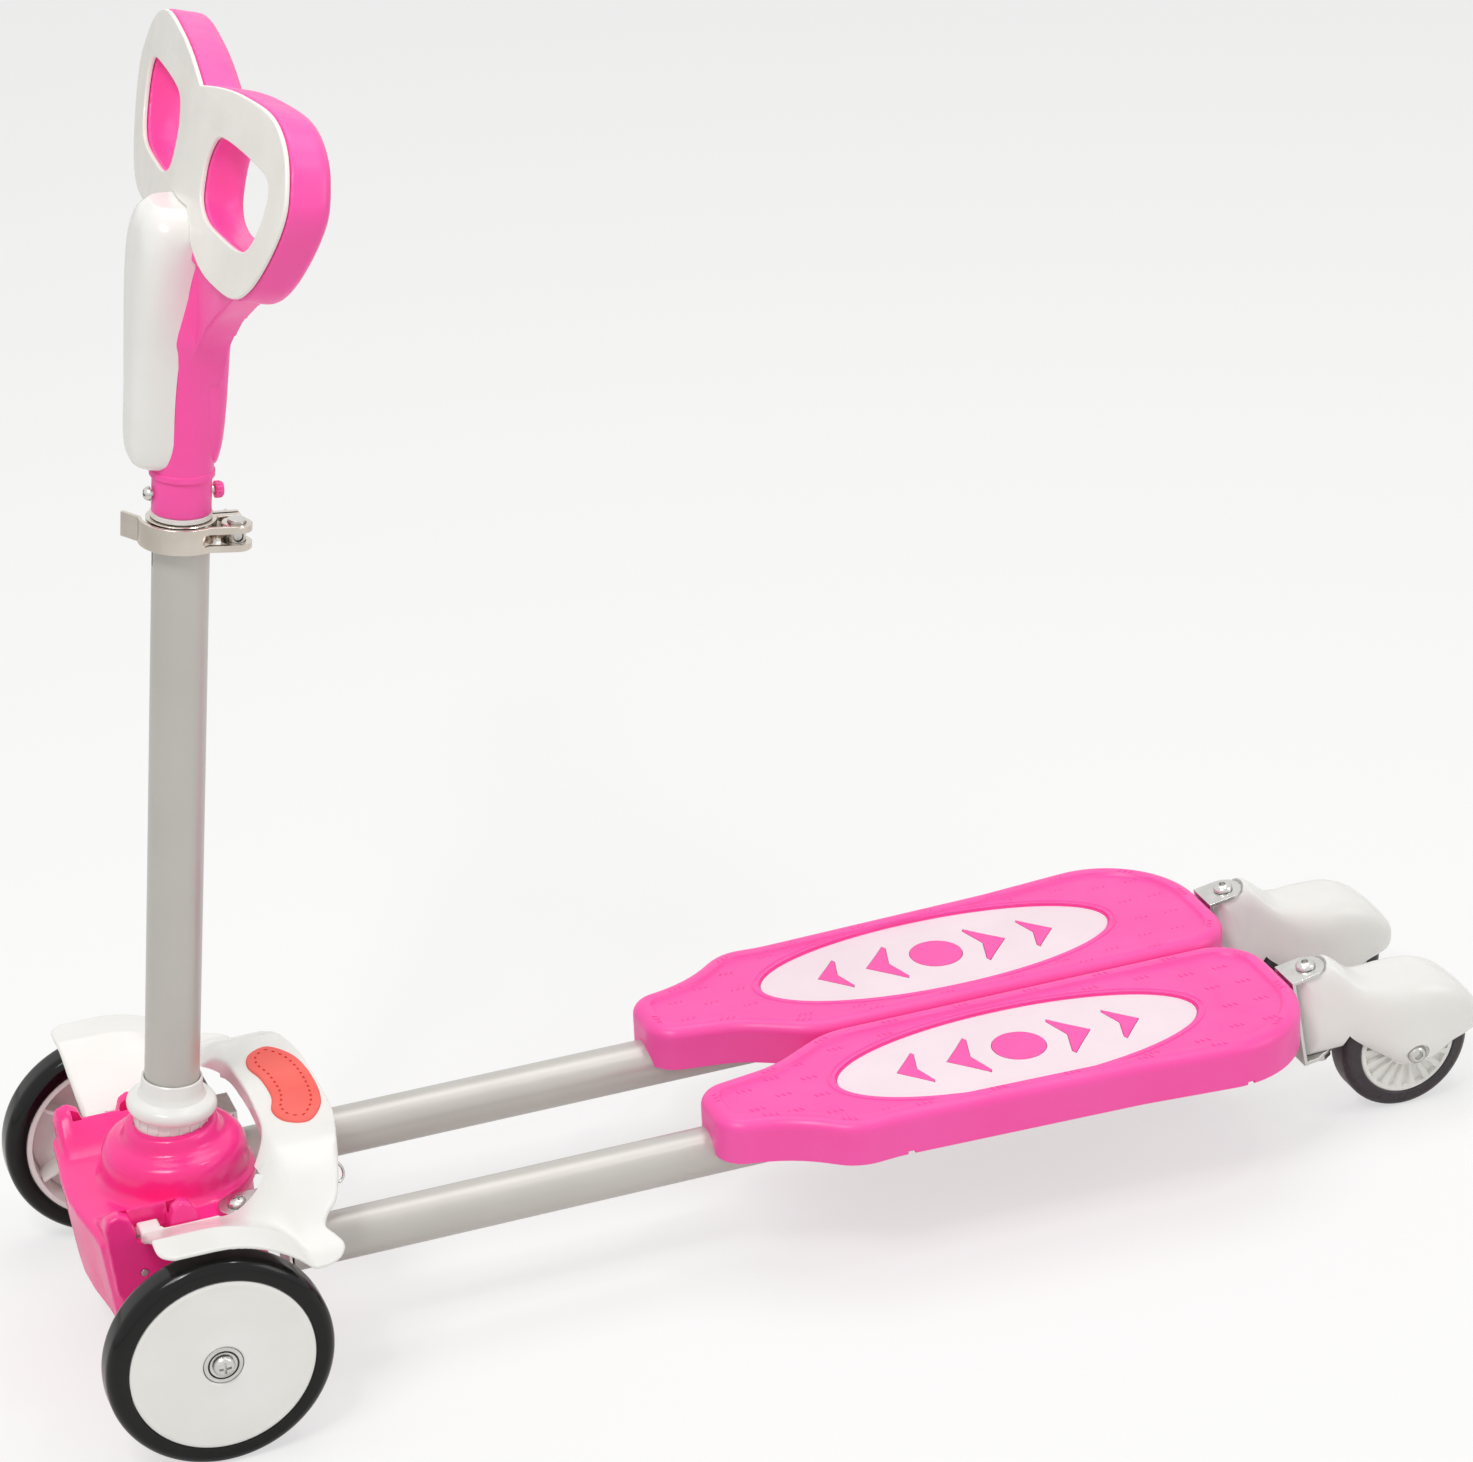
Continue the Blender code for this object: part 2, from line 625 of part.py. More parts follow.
# The front cover from its foot up: height, half width, depth of its rim and of its crest
FRONT_COVER = [(0.3494, 0.0080, 0.0030, 0.0200), (0.3540, 0.0115, 0.0030, 0.0262), (0.3640, 0.0130, 0.0030, 0.0288),
               (0.3896, 0.0150, 0.0030, 0.0286), (0.4155, 0.0185, 0.0030, 0.0284), (0.4453, 0.0240, 0.0030, 0.0278),
               (0.4653, 0.0262, 0.0005, 0.0262), (0.4780, 0.0230, 0.0005, 0.0225), (0.4850, 0.0130, 0.0005, 0.0170)]


def sheared_half(name, loops, path, tilt):
    """One half of a handle plate: swept back from the middle, mirrored, its Z pointing forward."""
    item = stacked(name, loops, path, half=True)
    turn_mesh(item, FACE_FRAME @ Matrix.Diagonal((-1, 1, 1, 1)))
    for vert in item.data.vertices:
        vert.co.x += abs(vert.co.y) * GRIP_SWEEP
    if tilt:
        item.data.transform(Matrix.Translation((-GRIP_AHEAD, 0, GRIP_S)) @ Matrix.Rotation(GRIP_TILT, 4, "Y"))
    mirror = item.modifiers.new("other_side", "MIRROR")
    mirror.use_axis = (False, True, False)
    mirror.merge_threshold = 0.00001
    return item


def oval(width, front, back, z, count=18):
    """A ring at height z: half an ellipse ahead of the stem axis and half behind it."""
    ring = []
    for i in range(count):
        a = 2 * pi * i / count
        depth = back if cos(a) > 0 else front
        ring.append((depth * cos(a), width * sin(a), z))
    return ring


def neck_body(name, grow=0.0):
    sleeve = 0.0150
    lip = 0.0164
    rows = [(NECK_LOW, sleeve, sleeve, sleeve), (0.3434, sleeve, sleeve, sleeve), (0.3440, lip, lip, lip),
            (0.3474, lip, lip, lip), (0.3484, 0.0159, 0.0155, 0.0157), (0.3700, 0.0169, 0.0150, 0.0165),
            (0.3950, 0.0184, 0.0148, 0.0172), (0.4120, 0.0219, 0.0146, 0.0178), (0.4240, 0.0249, 0.0144, 0.0182),
            (0.4700, 0.0285, 0.0010, 0.0197), (0.4800, 0.0230, 0.0002, 0.0200)]
    return loft(name, [oval(w + grow, f + grow, b + grow, s) for s, w, f, b in rows])


def cover_shape(name, rows, direction, fullness, count=11):
    """A closed long dome: at each height half a rounded box stands off a flat rim."""
    rings = []
    for s, half, rim, crest in rows:
        ring = []
        for i in range(count):
            a = pi * i / (count - 1)
            out = max(sin(a), 0.0) ** fullness
            side = abs(cos(a)) ** fullness * (1 if cos(a) > 0 else -1)
            ring.append((direction * (rim + (crest - rim) * out), half * side, s))
        rings.append(ring)
    return loft(name, rings)


def grip_plate(name, face, back, grow=0.0, edge=0.0):
    """Both wings at once, from a depth behind the face down to another, with a soft rear edge."""
    path = [(-face, -grow)] + [(-back - d, i - grow) for d, i in
                               ((-edge, 0.0), (-edge * 0.29, edge * 0.29), (0.0, edge))]
    if edge == 0.0:
        path = [path[0], path[-1]]
    return sheared_half(name, [wing_outline(False), hole_outline()], path, True)


def handle_web(name, grow=0.0):
    """The V of plastic that carries both wings down to the neck."""
    outline = [(0.0, 0.3820, 1), (0.0145, 0.3930), (0.0225, 0.4120), (0.0330, 0.4250), (0.0480, 0.4385),
               (0.0650, 0.4500), (0.0830, 0.4620, 1), (0.0780, 0.4740, 1), (0.0, 0.4740, 1)]
    path = [(WEB_FRONT + grow, -grow), (-WEB_BACK - grow, -grow)]
    return sheared_half(name, [smooth_path(outline, 2)], path, False)


def handle_parts():
    body = grip_plate("handle_body", FACE_T + GAP, GRIP_T, edge=GRIP_EDGE)
    as_part(place(body, stem), HOT_PINK)
    join(body, place(handle_web("handle_web"), stem), place(neck_body("handle_neck"), stem))
    cut(body, place(rod("neck_bore", INNER_R + GAP, NECK_LOW - 0.01, INNER_TOP + 0.001, "Z", (0, 0), 20), stem))
    cut(body, place(rod("neck_screw_hole", 0.0024, -0.03, 0.03, "X", (0, SCREW_S), 12), stem))
    face_path = [(0.0, 0.0008), (-0.0006, 0.0), (-FACE_T, 0.0)]
    face = sheared_half("handle_face", [wing_outline(True), hole_outline()], face_path, True)
    as_part(place(face, stem), WHITE)
    face_notch = cover_shape("face_notch", [(s, half + 0.0004, -0.0060, crest) for s, half, _, crest in FRONT_COVER[-4:]]
                             + [(FRONT_COVER[-1][0] + 0.0004, 0.0160, -0.0060, 0.0190)], -1, 0.55)
    cut(face, place(face_notch, stem))

    cover = as_part(place(cover_shape("front_cover", FRONT_COVER, -1, 0.55), stem), WHITE)
    rim = 0.0060
    rear_rows = [(0.3502, 0.0070, rim, 0.0170), (0.3540, 0.0105, rim, 0.0180), (0.3640, 0.0130, rim, 0.0198),
                 (0.3814, 0.0145, rim, 0.0211), (0.4142, 0.0165, rim, 0.0224), (0.4550, 0.0190, rim, 0.0248),
                 (0.4850, 0.0180, rim, 0.0268), (0.5020, 0.0120, rim, 0.0262), (0.5080, 0.0070, rim, 0.0246)]
    back = as_part(place(cover_shape("rear_cover", rear_rows, 1, 0.80), stem), HOT_PINK)
    neck_room = place(neck_body("cover_neck_room", GAP), stem)
    web_room = place(handle_web("cover_web_room", GAP), stem)
    plate_room = place(grip_plate("cover_plate_room", FACE_T, GRIP_T + GAP, GAP), stem)
    for shell in (cover, back):
        cut(shell, neck_room, web_room, plate_room)

    head = [(0, 0.0195), (0.0022, 0.0193), (0.0036, 0.0182), (0.0038, 0.0162), (0.0020, 0.0162), (0.0020, -0.0170),
            (0, -0.0170)]
    screw = turned("handle_screw", head, 12)
    as_part(place(screw, stem, (0, 0, SCREW_S), (0, -pi / 2, 0)), STEEL)
    knob = [(0.0024, 0.0210), (0.0036, 0.0206), (0.0044, 0.0186), (0.0044, 0.0166), (0.0024, 0.0166)]
    as_part(place(turned("handle_knob", knob, 12, True), stem, (0, 0, SCREW_S), (0, pi / 2, 0)), HOT_PINK)
    return body


# Foot brake: one moulding that arches over both wheels and bridges them behind the stem
def ease(value, start, end):
    """A smooth rise from 0 at start to 1 at end."""
    t = min(max((value - start) / (end - start), 0.0), 1.0)
    return t * t * (3 - 2 * t)


def pedal_top(x, y):
    """Height of the upper face: an arch round the wheel, low beside the base and high at the bridge."""
    arch = FRONT_R + sqrt(FENDER_R ** 2 - min(max(x, 0.0), FENDER_R) ** 2)
    climb = min((y - PEDAL_IN) / 0.046, 1.0)
    fender = SHELF_TOP + (arch - SHELF_TOP) * max(climb, 0.0)
    bridge = PEDAL_TOP - (PEDAL_TOP - TAIL_TOP) * ease(y, 0.050, 0.128)
    return fender + max(bridge - fender, 0.0) * ease(x, 0.020, 0.055)


def pedal_sheet():
    """Sections along Y, each from its front edge to its rear edge, with a thickness."""
    half = [(0.0, 0.0541, 0.0924, PEDAL_T), (0.0320, 0.0525, 0.0915, PEDAL_T),
            (0.0480, 0.0480, 0.0888, PEDAL_T), (0.0570, 0.0410, 0.0868, 0.0100), (PEDAL_IN - 0.0002, 0.0340, 0.0852, 0.0075),
            (PEDAL_IN, -0.0228, 0.0852, 0.0070), (0.0740, -0.0236, 0.0825, 0.0055), (0.0840, -0.0243, 0.0792, 0.0045),
            (0.0920, -0.0247, 0.0755, 0.0040), (0.0985, -0.0250, 0.0690, 0.0036), (0.1045, -0.0253, 0.0660, 0.0032),
            (0.1100, -0.0258, 0.0692, FENDER_T), (0.1160, -0.0262, 0.0720, FENDER_T),
            (0.1220, -0.0260, 0.0702, FENDER_T), (0.1270, -0.0240, 0.0658, FENDER_T),
            (PEDAL_OUT, -0.0190, 0.0590, FENDER_T)]
    stations = [(-row[0], *row[1:]) for row in half[:0:-1]] + half
    spans = 8
    rings = []
    for y, front, rear, thick in stations:
        soft = min(thick * 0.3, (rear - front) / spans * 0.7)
        xs = [front + (rear - front) * i / spans for i in range(spans + 1)]
        inside = [front + soft] + xs[1:-1] + [rear - soft]
        first, last = pedal_top(front, abs(y)), pedal_top(rear, abs(y))
        upper = [(x, y, pedal_top(x, abs(y))) for x in inside]
        tail = [(rear, y, last - soft), (rear, y, last - thick + soft)]
        lower = [(x, y, z - thick) for x, y, z in reversed(upper)]
        nose = [(front, y, first - thick + soft), (front, y, first - soft)]
        rings.append(upper + tail + lower + nose)
    return loft("brake_pedal", rings)


def brake_pedal():
    hinge = empty("brake_hinge", (HINGE_X, 0, HINGE_Z), root)
    body = pedal_sheet()
    turn_mesh(body, Matrix.Translation((-HINGE_X, 0, -HINGE_Z)))
    as_part(place(body, hinge), WHITE)
    tongue_outline = [(-0.0285, 0.0765), (-0.0170, 0.0755), (-0.0110, 0.1000), (-0.0110, 0.1050),
                      (-0.0227, 0.1050), (-0.0285, 0.0860)]
    for side, sign in SIDES:
        notch = rod("bolt_room_" + side, 0.0185, 0.080, 0.1262, "Z", (LEG_BOLT_X + 0.0010, sign * 0.0535), 18)
        cut(body, place(notch, root))
        tongue = side_plate("tongue_" + side, tongue_outline, sign, TONGUE_Y0, TONGUE_Y1)
        shelf = box("shelf_" + side, (-0.0224, TONGUE_Y0 + 0.0003, 0.1022), (-0.0112, PEDAL_IN + 0.0030, 0.1068))
        turn_mesh(shelf, Matrix.Diagonal((1, sign, 1, 1)))
        for piece in (shelf, tongue):
            join(body, place(piece, root))
        ends = sorted((sign * (TONGUE_Y0 - 0.01), sign * (TONGUE_Y1 + 0.001)))
        cut(body, place(rod("tongue_hole_" + side, PIN_R + GAP, *ends, "Y", (HINGE_X, HINGE_Z), 12), root))
        ends = sorted((sign * (TONGUE_Y0 - 0.0055), sign * (BASE_HALF_Y + 0.0008)))
        pin = rod("pedal_pin_" + side, PIN_R, *ends, "Y", (HINGE_X, HINGE_Z), 16)
        as_part(place(pin, root), STEEL)
    middle_x = 0.0760
    bean = [(middle_x + 0.0010, 0.0425), (middle_x - 0.0105, 0.0380), (middle_x - 0.0130, 0.0250),
            (middle_x - 0.0090, 0.0100), (middle_x - 0.0085, -0.0100), (middle_x - 0.0130, -0.0250),
            (middle_x - 0.0105, -0.0380), (middle_x + 0.0010, -0.0425), (middle_x + 0.0100, -0.0300),
            (middle_x + 0.0140, -0.0120), (middle_x + 0.0140, 0.0120), (middle_x + 0.0100, 0.0300)]
    well_path = [(PEDAL_TOP + 0.01, -GAP), (PEDAL_TOP - 0.0015, -GAP)]
    well = stacked("pad_well", [smooth_path(bean, 2)], well_path)
    cut(body, place(well, root))
    pad_path = rounded(PEDAL_TOP + 0.0014, PEDAL_TOP - 0.0015 + GAP, 0.0010, 2)
    pad = stacked("pedal_pad", [smooth_path(bean, 2)], pad_path)
    as_part(place(turn_mesh(pad, Matrix.Translation((-HINGE_X, 0, -HINGE_Z))), hinge), CORAL)
    return body


# Front wheels
def front_wheel(side, sign):
    axle = empty("front_axle_" + side, (0, sign * FRONT_Y, FRONT_R), root, (-sign * pi / 2, 0, 0))
    h = FRONT_HALF_W
    crown = arc(0.0060, 70, 10, 2, (FRONT_R - 0.0060, 0.0046))
    rubber = [(DISC_R + GAP, h)] + crown
    rubber += [(r, -z) for r, z in reversed(rubber)]
    as_part(place(turned("front_tyre_" + side, rubber, 32, True), axle), TYRE)
    hub_r = BEARING_R + 0.0045
    seat = BEARING_R + GAP
    disc = [(seat, h), (DISC_R - 0.0012, h), (DISC_R, h - 0.0012), (DISC_R, -h + 0.0012), (DISC_R - 0.0035, -h + 0.0012),
            (DISC_R - 0.0050, h - 0.0040), (hub_r + 0.001, h - 0.0040), (hub_r, -h), (seat, -h)]
    wheel = as_part(place(turned("front_disc_" + side, disc, 22, True), axle), WHITE)
    for i in range(3):
        rib = box("rib_%s_%d" % (side, i), (-DISC_R + 0.002, -0.0010, -h + 0.0035), (DISC_R - 0.002, 0.0010, h - 0.0030))
        turn_mesh(rib, Matrix.Rotation(pi * (i + 0.4) / 3, 4, "Z"))
        join(wheel, place(rib, axle))
    cut(wheel, place(rod("hub_seat_" + side, seat, -h - 0.01, h + 0.01, "Z", (0, 0), 16), axle))
    ring = [(BEARING_R, h - 0.0008), (BEARING_R, -h + 0.0008), (AXLE_R + GAP, -h + 0.0008), (AXLE_R + GAP, h - 0.0008)]
    as_part(place(turned("front_bearing_" + side, ring, 12, True), axle), STEEL)
    start = h + 0.0002
    reach = -(FRONT_Y - 0.0640)
    bolt = [(0, start + HEAD_H), (HEAD_R * 0.6, start + HEAD_H * 0.85), (HEAD_R, start + 0.0010), (HEAD_R, start),
            (AXLE_R, start), (AXLE_R, reach), (0, reach)]
    as_part(place(turned("front_axle_bolt_" + side, bolt, 10), axle), STEEL)


# Legs: clevis, tube, footboard and the caster's fork
def deck_outline():
    """The footboard from above: corners as shares of its length and width, and a radius."""
    corners = [(0.0, 0.262, 0.018), (0.138, 0.196, 0.060), (0.250, 0.012, 0.050), (1.0, 0.012, 0.030),
               (1.0, 1.0, 0.058), (0.668, 0.914, 0.150), (0.262, 0.873, 0.060), (0.190, 0.890, 0.030),
               (0.106, 0.694, 0.080), (0.0, 0.637, 0.017)]
    return filleted([(DECK_FRONT + along * DECK_LENGTH, out * DECK_WIDTH, radius) for along, out, radius in corners], 30)


def ellipse(a, b, count=24):
    return [(INLAY_X + a * cos(2 * pi * i / count), INLAY_Y + b * sin(2 * pi * i / count)) for i in range(count)]


def arrow(tip, direction, size):
    """A swept chevron whose point lies at tip and whose tails trail along direction."""
    shape = [(0, 0), (0.0095, -0.0105), (0.0150, -0.0170), (0.0160, -0.0145), (0.0118, 0),
             (0.0160, 0.0145), (0.0150, 0.0170), (0.0095, 0.0105)]
    return [(tip + direction * x * size, INLAY_Y + y * size) for x, y in shape]


def inlay_holes(shrink=0.0):
    circle = [(INLAY_X + (DOT_R - shrink) * cos(2 * pi * i / 14), INLAY_Y + (DOT_R - shrink) * sin(2 * pi * i / 14))
              for i in range(14)]
    tips = ((-0.0735, 1, 1.04), (-0.0437, 1, 1.22), (0.0437, -1, 1.22), (0.0735, -1, 1.04))
    return [circle] + [inset_loop(arrow(INLAY_X + x, way, size), shrink) for x, way, size in tips]


def span_at(outline, x):
    """Where a line across the footboard at x enters and leaves its outline."""
    hits = []
    for a, b in zip(outline, outline[1:] + outline[:1]):
        if (a[0] - x) * (b[0] - x) < 0:
            hits.append(a[1] + (b[1] - a[1]) * (x - a[0]) / (b[0] - a[0]))
    return min(hits), max(hits)


def deck(side, sign, leg_parent):
    """A moulded tray, open below, whose ribs sit on the leg tube."""
    flip = Matrix.Translation((-LEG_BOLT_X, -sign * LEG_Y, 0)) @ Matrix.Diagonal((1, sign, 1, 1))

    def lay(item):
        return place(turn_mesh(item, flip), leg_parent)

    outline = deck_outline()
    floor = DECK_TOP - TRAY_DEPTH
    ceiling = INLAY_TOP - INLAY_T - 0.0026
    path = [(ceiling, DECK_WALL), (DECK_BOTTOM, DECK_WALL)]
    path += rounded(DECK_TOP, DECK_BOTTOM, DECK_ROLL, 2)[::-1]
    path += [(DECK_TOP, RIM - 0.0020), (floor, RIM)]
    board = as_part(lay(stacked("deck_" + side, [outline], path)), HOT_PINK)
    for i in range(5):
        x = DECK_FRONT + DECK_LENGTH * (0.118 + 0.187 * i)
        half = 0.005 if i in (1, 4) else 0.0012
        low, high = span_at(outline, x)
        inside = DECK_WALL * 0.6
        join(board, lay(box("deck_rib_%s_%d" % (side, i), (x - half, low + inside, DECK_BOTTOM + 0.0015),
                            (x + half, high - inside, ceiling + 0.0012))))
    tube_space = rod("deck_saddle_" + side, LEG_R + GAP, 0.25, 0.70, "X", (0, LEG_Z), 20)
    cut(board, place(tube_space, leg_parent))
    seat_low = INLAY_TOP - INLAY_T
    seat = slab("inlay_seat_" + side, [ellipse(INLAY_A + GAP, INLAY_B + GAP)] + inlay_holes(GAP),
                seat_low, DECK_TOP + 0.01)
    well = slab("inlay_well_" + side, [ellipse(INLAY_A + 0.0012, INLAY_B + 0.0012)], INLAY_TOP, DECK_TOP + 0.011)
    cut(board, lay(well), lay(seat))
    inlay = slab("deck_inlay_" + side, [ellipse(INLAY_A, INLAY_B)] + inlay_holes(), seat_low + GAP, INLAY_TOP)
    as_part(lay(inlay), PALE_PINK)


def fork_profile(reach, half, thick, nose):
    """Side view of a U bracket: web at -reach, both plates running forward to nose."""
    return [(-reach, -half - thick), (nose, -half - thick), (nose, -half), (-reach + thick, -half),
            (-reach + thick, half), (nose, half), (nose, half + thick), (-reach, half + thick)]


def fork(name, reach, half, turn, parent, location, lean=0.0):
    """A steel U bracket with round plate ends, opening along X; turn flips it end for end."""
    bend = across(slab(name, [fork_profile(reach, half, PLATE_T, PLATE_R)], -PLATE_R, PLATE_R))
    rounded = [(-0.03, -PLATE_R), (0.0, -PLATE_R)] + arc(PLATE_R, -70, 70, 6) + [(0.0, PLATE_R), (-0.03, PLATE_R)]
    keep = slab(name + "_plan", [rounded], -half - 0.01, half + 0.01)
    for item in (bend, keep):
        turn_mesh(item, Matrix.Rotation(turn, 4, "Z"))
        place(item, parent, location, (0, -lean, 0))
    as_part(bend, STEEL)
    combine(bend, keep, "INTERSECT")
    hole = rod(name + "_hole", LEG_BOLT_R + GAP, -half - 0.01, half + 0.01, sides=12)
    cut(bend, place(hole, parent, location, (0, -lean, 0)))
    return bend


def bolt_and_nut(name, half, parent, location, lean=0.0):
    top = half + PLATE_T + GAP
    head = [(0, top + 0.0034), (0.0040, top + 0.0031), (0.0056, top + 0.0015), (0.0057, top), (LEG_BOLT_R, top),
            (LEG_BOLT_R, -top - 0.0048), (0, -top - 0.0048)]
    bolt = as_part(place(turned(name + "_bolt", head, 10), parent, location, (0, -lean, 0)), STEEL)
    nut = as_part(rod(name + "_nut", 0.0068, -top - 0.0042, -top, "Z", (0, 0), 6), STEEL)
    place(nut, parent, location, (0, -lean, 0))
    nut_hole = rod(name + "_nut_hole", LEG_BOLT_R + GAP, -top - 0.02, 0, sides=12)
    cut(nut, place(nut_hole, parent, location, (0, -lean, 0)))
    return bolt


def leg(side, sign):
    pivot = empty("leg_axis_" + side, (LEG_BOLT_X, sign * LEG_Y, 0), root)
    base_mid = (BASE_TOP + BASE_BOTTOM) / 2
    base_half = (BASE_TOP - BASE_BOTTOM) / 2 + GAP
    fork("leg_clevis_" + side, LEG_WEB + PLATE_T, base_half, pi, pivot, (0, 0, base_mid))
    bolt_and_nut("leg_" + side, base_half, pivot, (0, 0, base_mid))
    start = LEG_WEB + PLATE_T + GAP
    end = PIVOT_X - LEG_BOLT_X - 0.0095
    tube = rod("leg_tube_" + side, LEG_R, start, end, "X", (0, LEG_Z), 20)
    as_part(place(tube, pivot), TUBE_GREY)
    cut(tube, place(rod("leg_tube_bore_" + side, LEG_R - LEG_WALL, start - 0.01, end + 0.01, "X", (0, LEG_Z), 20), pivot))
    fork_spot = (PIVOT_X - LEG_BOLT_X, 0, PIVOT_Z)
    trim = box("leg_tube_end_" + side, (-NECK_R - 0.0010 - PLATE_T - GAP, -0.03, -0.05), (0.03, 0.03, 0.05))
    cut(tube, place(trim, pivot, fork_spot, (0, -PIVOT_LEAN, 0)))
    steel = fork("caster_fork_" + side, NECK_R + 0.0010 + PLATE_T, FORK_HALF, 0, pivot, fork_spot, PIVOT_LEAN)
    bite = [(0.030, 0.030), (-0.006, 0.030), (-0.006, PLATE_R + 0.0005)] + arc(LOW_PLATE_R, 90, -90, 7)
    bite += [(-0.006, -PLATE_R - 0.0005), (-0.006, -0.030), (0.030, -0.030)]
    taper = slab("fork_taper_" + side, [bite], -FORK_HALF - 0.010, -FORK_HALF + 0.001)
    cut(steel, place(taper, pivot, fork_spot, (0, -PIVOT_LEAN, 0)))
    bolt_and_nut("caster_" + side, FORK_HALF, pivot, fork_spot, PIVOT_LEAN)
    deck(side, sign, pivot)
    return pivot, fork_spot


# Casters
def housing_skin(name, count=18):
    """The bulbous caster housing: rounded sections along X from its pivot neck to its tail."""
    rows = [(-0.0790, 0.0440, 0.1040, 0.0150), (-0.0480, 0.0445, 0.1035, 0.0150), (-0.0420, 0.0455, 0.0990, 0.0152),
            (-0.0360, 0.0465, 0.0935, 0.0160), (-0.0290, 0.0440, 0.0890, 0.0182),
            (-0.0200, 0.0390, 0.0870, 0.0215), (-0.0090, 0.0315, 0.0868, 0.0245), (0.0020, 0.0280, 0.0866, 0.0253),
            (0.0130, 0.0292, 0.0853, 0.0250), (0.0240, 0.0365, 0.0806, 0.0236), (0.0330, 0.0395, 0.0735, 0.0212),
            (0.0405, 0.0415, 0.0650, 0.0172), (0.0450, 0.0445, 0.0590, 0.0120), (HOUSING_BACK, 0.0480, 0.0550, 0.0055)]
    rings = []
    for x, low, high, half in rows:
        ring = []
        for i in range(count):
            a = 2 * pi * (i + 0.5) / count
            side = abs(cos(a)) ** 0.66 * (1 if cos(a) > 0 else -1)
            rise = abs(sin(a)) ** 0.66 * (1 if sin(a) > 0 else -1)
            ring.append((REAR_X + x, half * side, (low + high) / 2 + (high - low) / 2 * rise))
        rings.append(ring)
    return loft(name, rings)


def caster(side, sign, pivot, fork_spot):
    swivel = empty("caster_axis_" + side, fork_spot, pivot, (0, -PIVOT_LEAN, 0))
    to_pivot = Matrix.Rotation(PIVOT_LEAN, 4, "Y") @ Matrix.Translation((-PIVOT_X, 0, -PIVOT_Z))
    half = BOSS_HALF - 0.0018
    shell = housing_skin("caster_housing_" + side)
    as_part(place(turn_mesh(shell, to_pivot), swivel), WHITE)
    plan = [(x, y) for x, y in arc(NECK_R, 90, 270, 9)] + [(0.0060, -NECK_R), (0.0190, -0.0320)]
    plan += [(0.1200, -0.0320), (0.1200, 0.0320), (0.0190, 0.0320), (0.0060, NECK_R)]
    keep = slab("caster_plan_" + side, [plan], -0.06, 0.06)
    combine(shell, place(keep, swivel), "INTERSECT")
    neck_half = FORK_HALF - GAP
    low_trim = box("neck_low_" + side, (-0.03, -0.03, -0.06), (0.0140, 0.03, -neck_half))
    cut(shell, place(low_trim, swivel))
    cut(shell, place(rod("fork_room_" + side, NECK_R + 0.0010, neck_half, 0.06, "Z", (0, 0), 32), swivel))
    cut(shell, place(rod("caster_bore_" + side, LEG_BOLT_R + GAP, -0.06, 0.06), swivel))
    room = REAR_HALF_W + WELL_PLAY * 0.8
    wheel_spot = to_pivot @ Vector((REAR_X, 0, REAR_R))
    well = rod("wheel_well_" + side, REAR_R + WELL_PLAY, -room, room, "Y", (0, 0), 40)
    cut(shell, place(well, swivel, wheel_spot))
    below = box("well_mouth_" + side, (-0.0390, -room, -0.060), (0.0380, room, 0.0))
    cut(shell, place(below, swivel, wheel_spot, (0, PIVOT_LEAN, 0)))
    cut(shell, place(rod("rear_axle_hole_" + side, REAR_BORE_R + GAP, -0.05, 0.05, "Y", (0, 0), 20), swivel, wheel_spot))
    for end in (-1, 1):
        recess = rod("axle_recess_%s_%d" % (side, end), 0.0072, half, half + 0.02, "Y", (0, 0), 20)
        turn_mesh(recess, Matrix.Diagonal((1, end, 1, 1)))
        cut(shell, place(recess, swivel, wheel_spot))
    axle = empty("rear_wheel_axis_" + side, wheel_spot, swivel, (-sign * pi / 2, 0, 0))
    axle.rotation_euler = (Matrix.Rotation(PIVOT_LEAN, 3, "Y") @ Matrix.Rotation(-sign * pi / 2, 3, "X")).to_euler()
    rear_wheel(side, axle, half)


def rear_wheel(side, axle, half):
    h = REAR_HALF_W
    crown = arc(0.0050, 68, 10, 2, (REAR_R - 0.0050, 0.0062))
    rubber = [(REAR_HUB_R + GAP, h)] + crown
    rubber += [(r, -z) for r, z in reversed(rubber)]
    as_part(place(turned("rear_tyre_" + side, rubber, 28, True), axle), TYRE)
    as_part(place(ribbed_hub("rear_hub_" + side, h), axle), WHITE)
    start = half + 0.0002
    bolt = [(0, start + 0.0028), (0.0036, start + 0.0025), (0.0058, start + 0.0008), (0.0058, start),
            (REAR_BORE_R, start), (REAR_BORE_R, -half - 0.0010), (0, -half - 0.0010)]
    as_part(place(turned("rear_axle_bolt_" + side, bolt, 10), axle), STEEL)


def ribbed_hub(name, h, ribs=14, depth=0.0020):
    """A wheel centre whose outer face is fluted between the boss and the rim."""
    bore = REAR_BORE_R + GAP
    radii = [(bore, h + 0.0012, 0), (0.0090, h + 0.0012, 0), (0.0165, h - 0.0012, 1),
             (0.0262, h - 0.0012, 1), (0.0272, h - 0.0002, 0), (REAR_HUB_R, h - 0.0002, 0),
             (REAR_HUB_R, -h + 0.0002, 0), (bore, -h + 0.0002, 0)]
    count = ribs * 2

    def fill(shape):
        rows = []
        for i in range(count):
            a = 2 * pi * i / count
            low = depth * (i % 2)
            rows.append([shape.verts.new((r * cos(a), r * sin(a), z - low * fluted)) for r, z, fluted in radii])
        for i, row in enumerate(rows):
            after = rows[(i + 1) % count]
            for j in range(len(radii)):
                k = (j + 1) % len(radii)
                shape.faces.new((row[j], row[k], after[k], after[j]))

    return mesh_item(name, fill)


